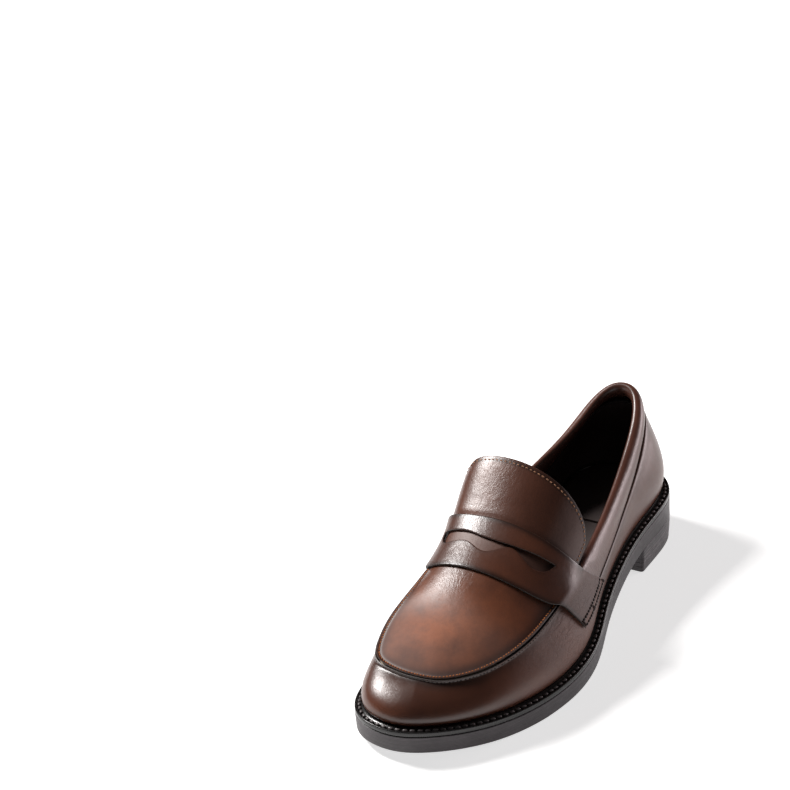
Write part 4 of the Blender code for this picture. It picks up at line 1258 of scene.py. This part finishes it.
def build_sock():
    u, mate, stations = sole_loop(120, 80, 70, 34.0, 228.0)
    low, high = 2.4, 3.3
    profile = ((10.3, 0.0), (9.95, 0.15), (9.8, 0.5), (9.95, 0.85), (10.3, 1.0))
    rings = rims(u, profile, lambda s, t: welt_top(s) + high * (1 - t) + low * t)
    item = slab("sock_liner_leather", rings, stations, mate, lambda s: welt_top(s) + high,
                lambda s: welt_top(s) + low, LINING)
    finish_piece(item, "shoe", "lining", "sock_liner")


INSIDE = {node_name: board_material(*values) for node_name, *values in (
    ("cork_filler", "cork_filler_grain", (0.30, 0.17, 0.08, 1), (0.52, 0.33, 0.18, 1), 400.0),
    ("shank_board", "shank_board_fibre", (0.30, 0.20, 0.11, 1), (0.44, 0.31, 0.19, 1), 900.0),
    ("insole_board", "insole_board_fibre", (0.33, 0.22, 0.13, 1), (0.50, 0.36, 0.22, 1), 900.0),
    ("shank", "shank_brushed_steel", (0.45, 0.45, 0.47, 1), (0.62, 0.62, 0.64, 1), 700.0, 1.0, 0.35),
    ("toe_puff", "toe_puff_fibre", (0.45, 0.38, 0.28, 1), (0.60, 0.52, 0.42, 1), 1200.0),
    ("heel_counter", "heel_counter_fibre", (0.40, 0.33, 0.24, 1), (0.56, 0.48, 0.37, 1), 1200.0))}
INSIDE["heel_pad"] = LINING


def paint_inside():
    for name, surface in INSIDE.items():
        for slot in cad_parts[name].material_slots:
            slot.link = "DATA"
            slot.material = surface


# ---------------------------------------------------------------- stage

def area_light(name, place, aim, size, power, color):
    data = bpy.data.lights.new(name, "AREA")
    data.shape = "RECTANGLE"
    data.size, data.size_y = size
    data.energy = power
    data.color = color
    item = bpy.data.objects.new(name, data)
    item.location = place
    item.rotation_euler = (Vector(aim) - Vector(place)).to_track_quat("-Z", "Y").to_euler()
    item.visible_camera = False
    bpy.context.scene.collection.objects.link(item)


def build_stage():
    half = 6.0
    corners = [(x * half, y * half, 0) for x, y in ((-1, -1), (1, -1), (1, 1), (-1, 1))]
    mesh = bpy.data.meshes.new("floor")
    mesh.from_pydata(corners, [], [(0, 1, 2, 3)])
    made, tree, shader, coords = new_material("floor_pale")
    tone = ramp(tree, noise(tree, coords, 3.0, 2.0, 0.5),
                ((0.3, (0.86, 0.86, 0.86, 1)), (0.7, (0.90, 0.90, 0.90, 1))))
    tree.links.new(tone, shader.inputs["Base Color"])
    settings(shader, Roughness=0.9, Specular_IOR_Level=0.1, Emission_Color=WHITE, Emission_Strength=0.66)
    mesh.materials.append(made)
    floor = bpy.data.objects.new("floor", mesh)
    scene = bpy.context.scene
    scene.collection.objects.link(floor)
    world = bpy.data.worlds.new("studio")
    world.use_nodes = True
    settings(world.node_tree.nodes["Background"], Color=WHITE, Strength=0.05)
    scene.world = world
    area_light("softbox_left", (-1.05, 0.03, 1.10), (0.0, -0.02, 0.04), (0.42, 0.42), 33.0,
               (1.0, 0.98, 0.965))
    area_light("rim_right", (1.05, 1.30, 0.24), (0.03, 0.05, 0.06), (0.9, 0.36), 10.6, (1.0, 0.87, 0.89))
    scene.view_settings.view_transform = "Standard"
    scene.view_settings.look = "None"
    scene.view_settings.exposure = 0.0


def build_camera():
    """Camera above the front outer side, turned slightly about its own axis."""
    place = Vector((0.74257, -1.37672, 1.07843))
    aim = Vector((-0.18511, 0.18839, 0.0))
    roll = -0.07465
    rotation = (aim - place).to_track_quat("-Z", "Y").to_matrix().to_4x4() @ Matrix.Rotation(roll, 4, "Z")
    data = bpy.data.cameras.new("camera")
    data.sensor_width = 36.0
    data.lens = 161.38
    data.clip_end = 50.0
    item = bpy.data.objects.new("camera", data)
    item.matrix_world = Matrix.Translation(place) @ rotation
    bpy.context.scene.collection.objects.link(item)
    bpy.context.scene.camera = item


build_camera()
build_stage()
build_outsole()
build_welt()
build_heel()
build_sock()
build_wall()
build_apron()
build_seam_stitches()
build_lining()
build_collar()
build_back_strip()
build_strap()
build_tongue()
paint_inside()
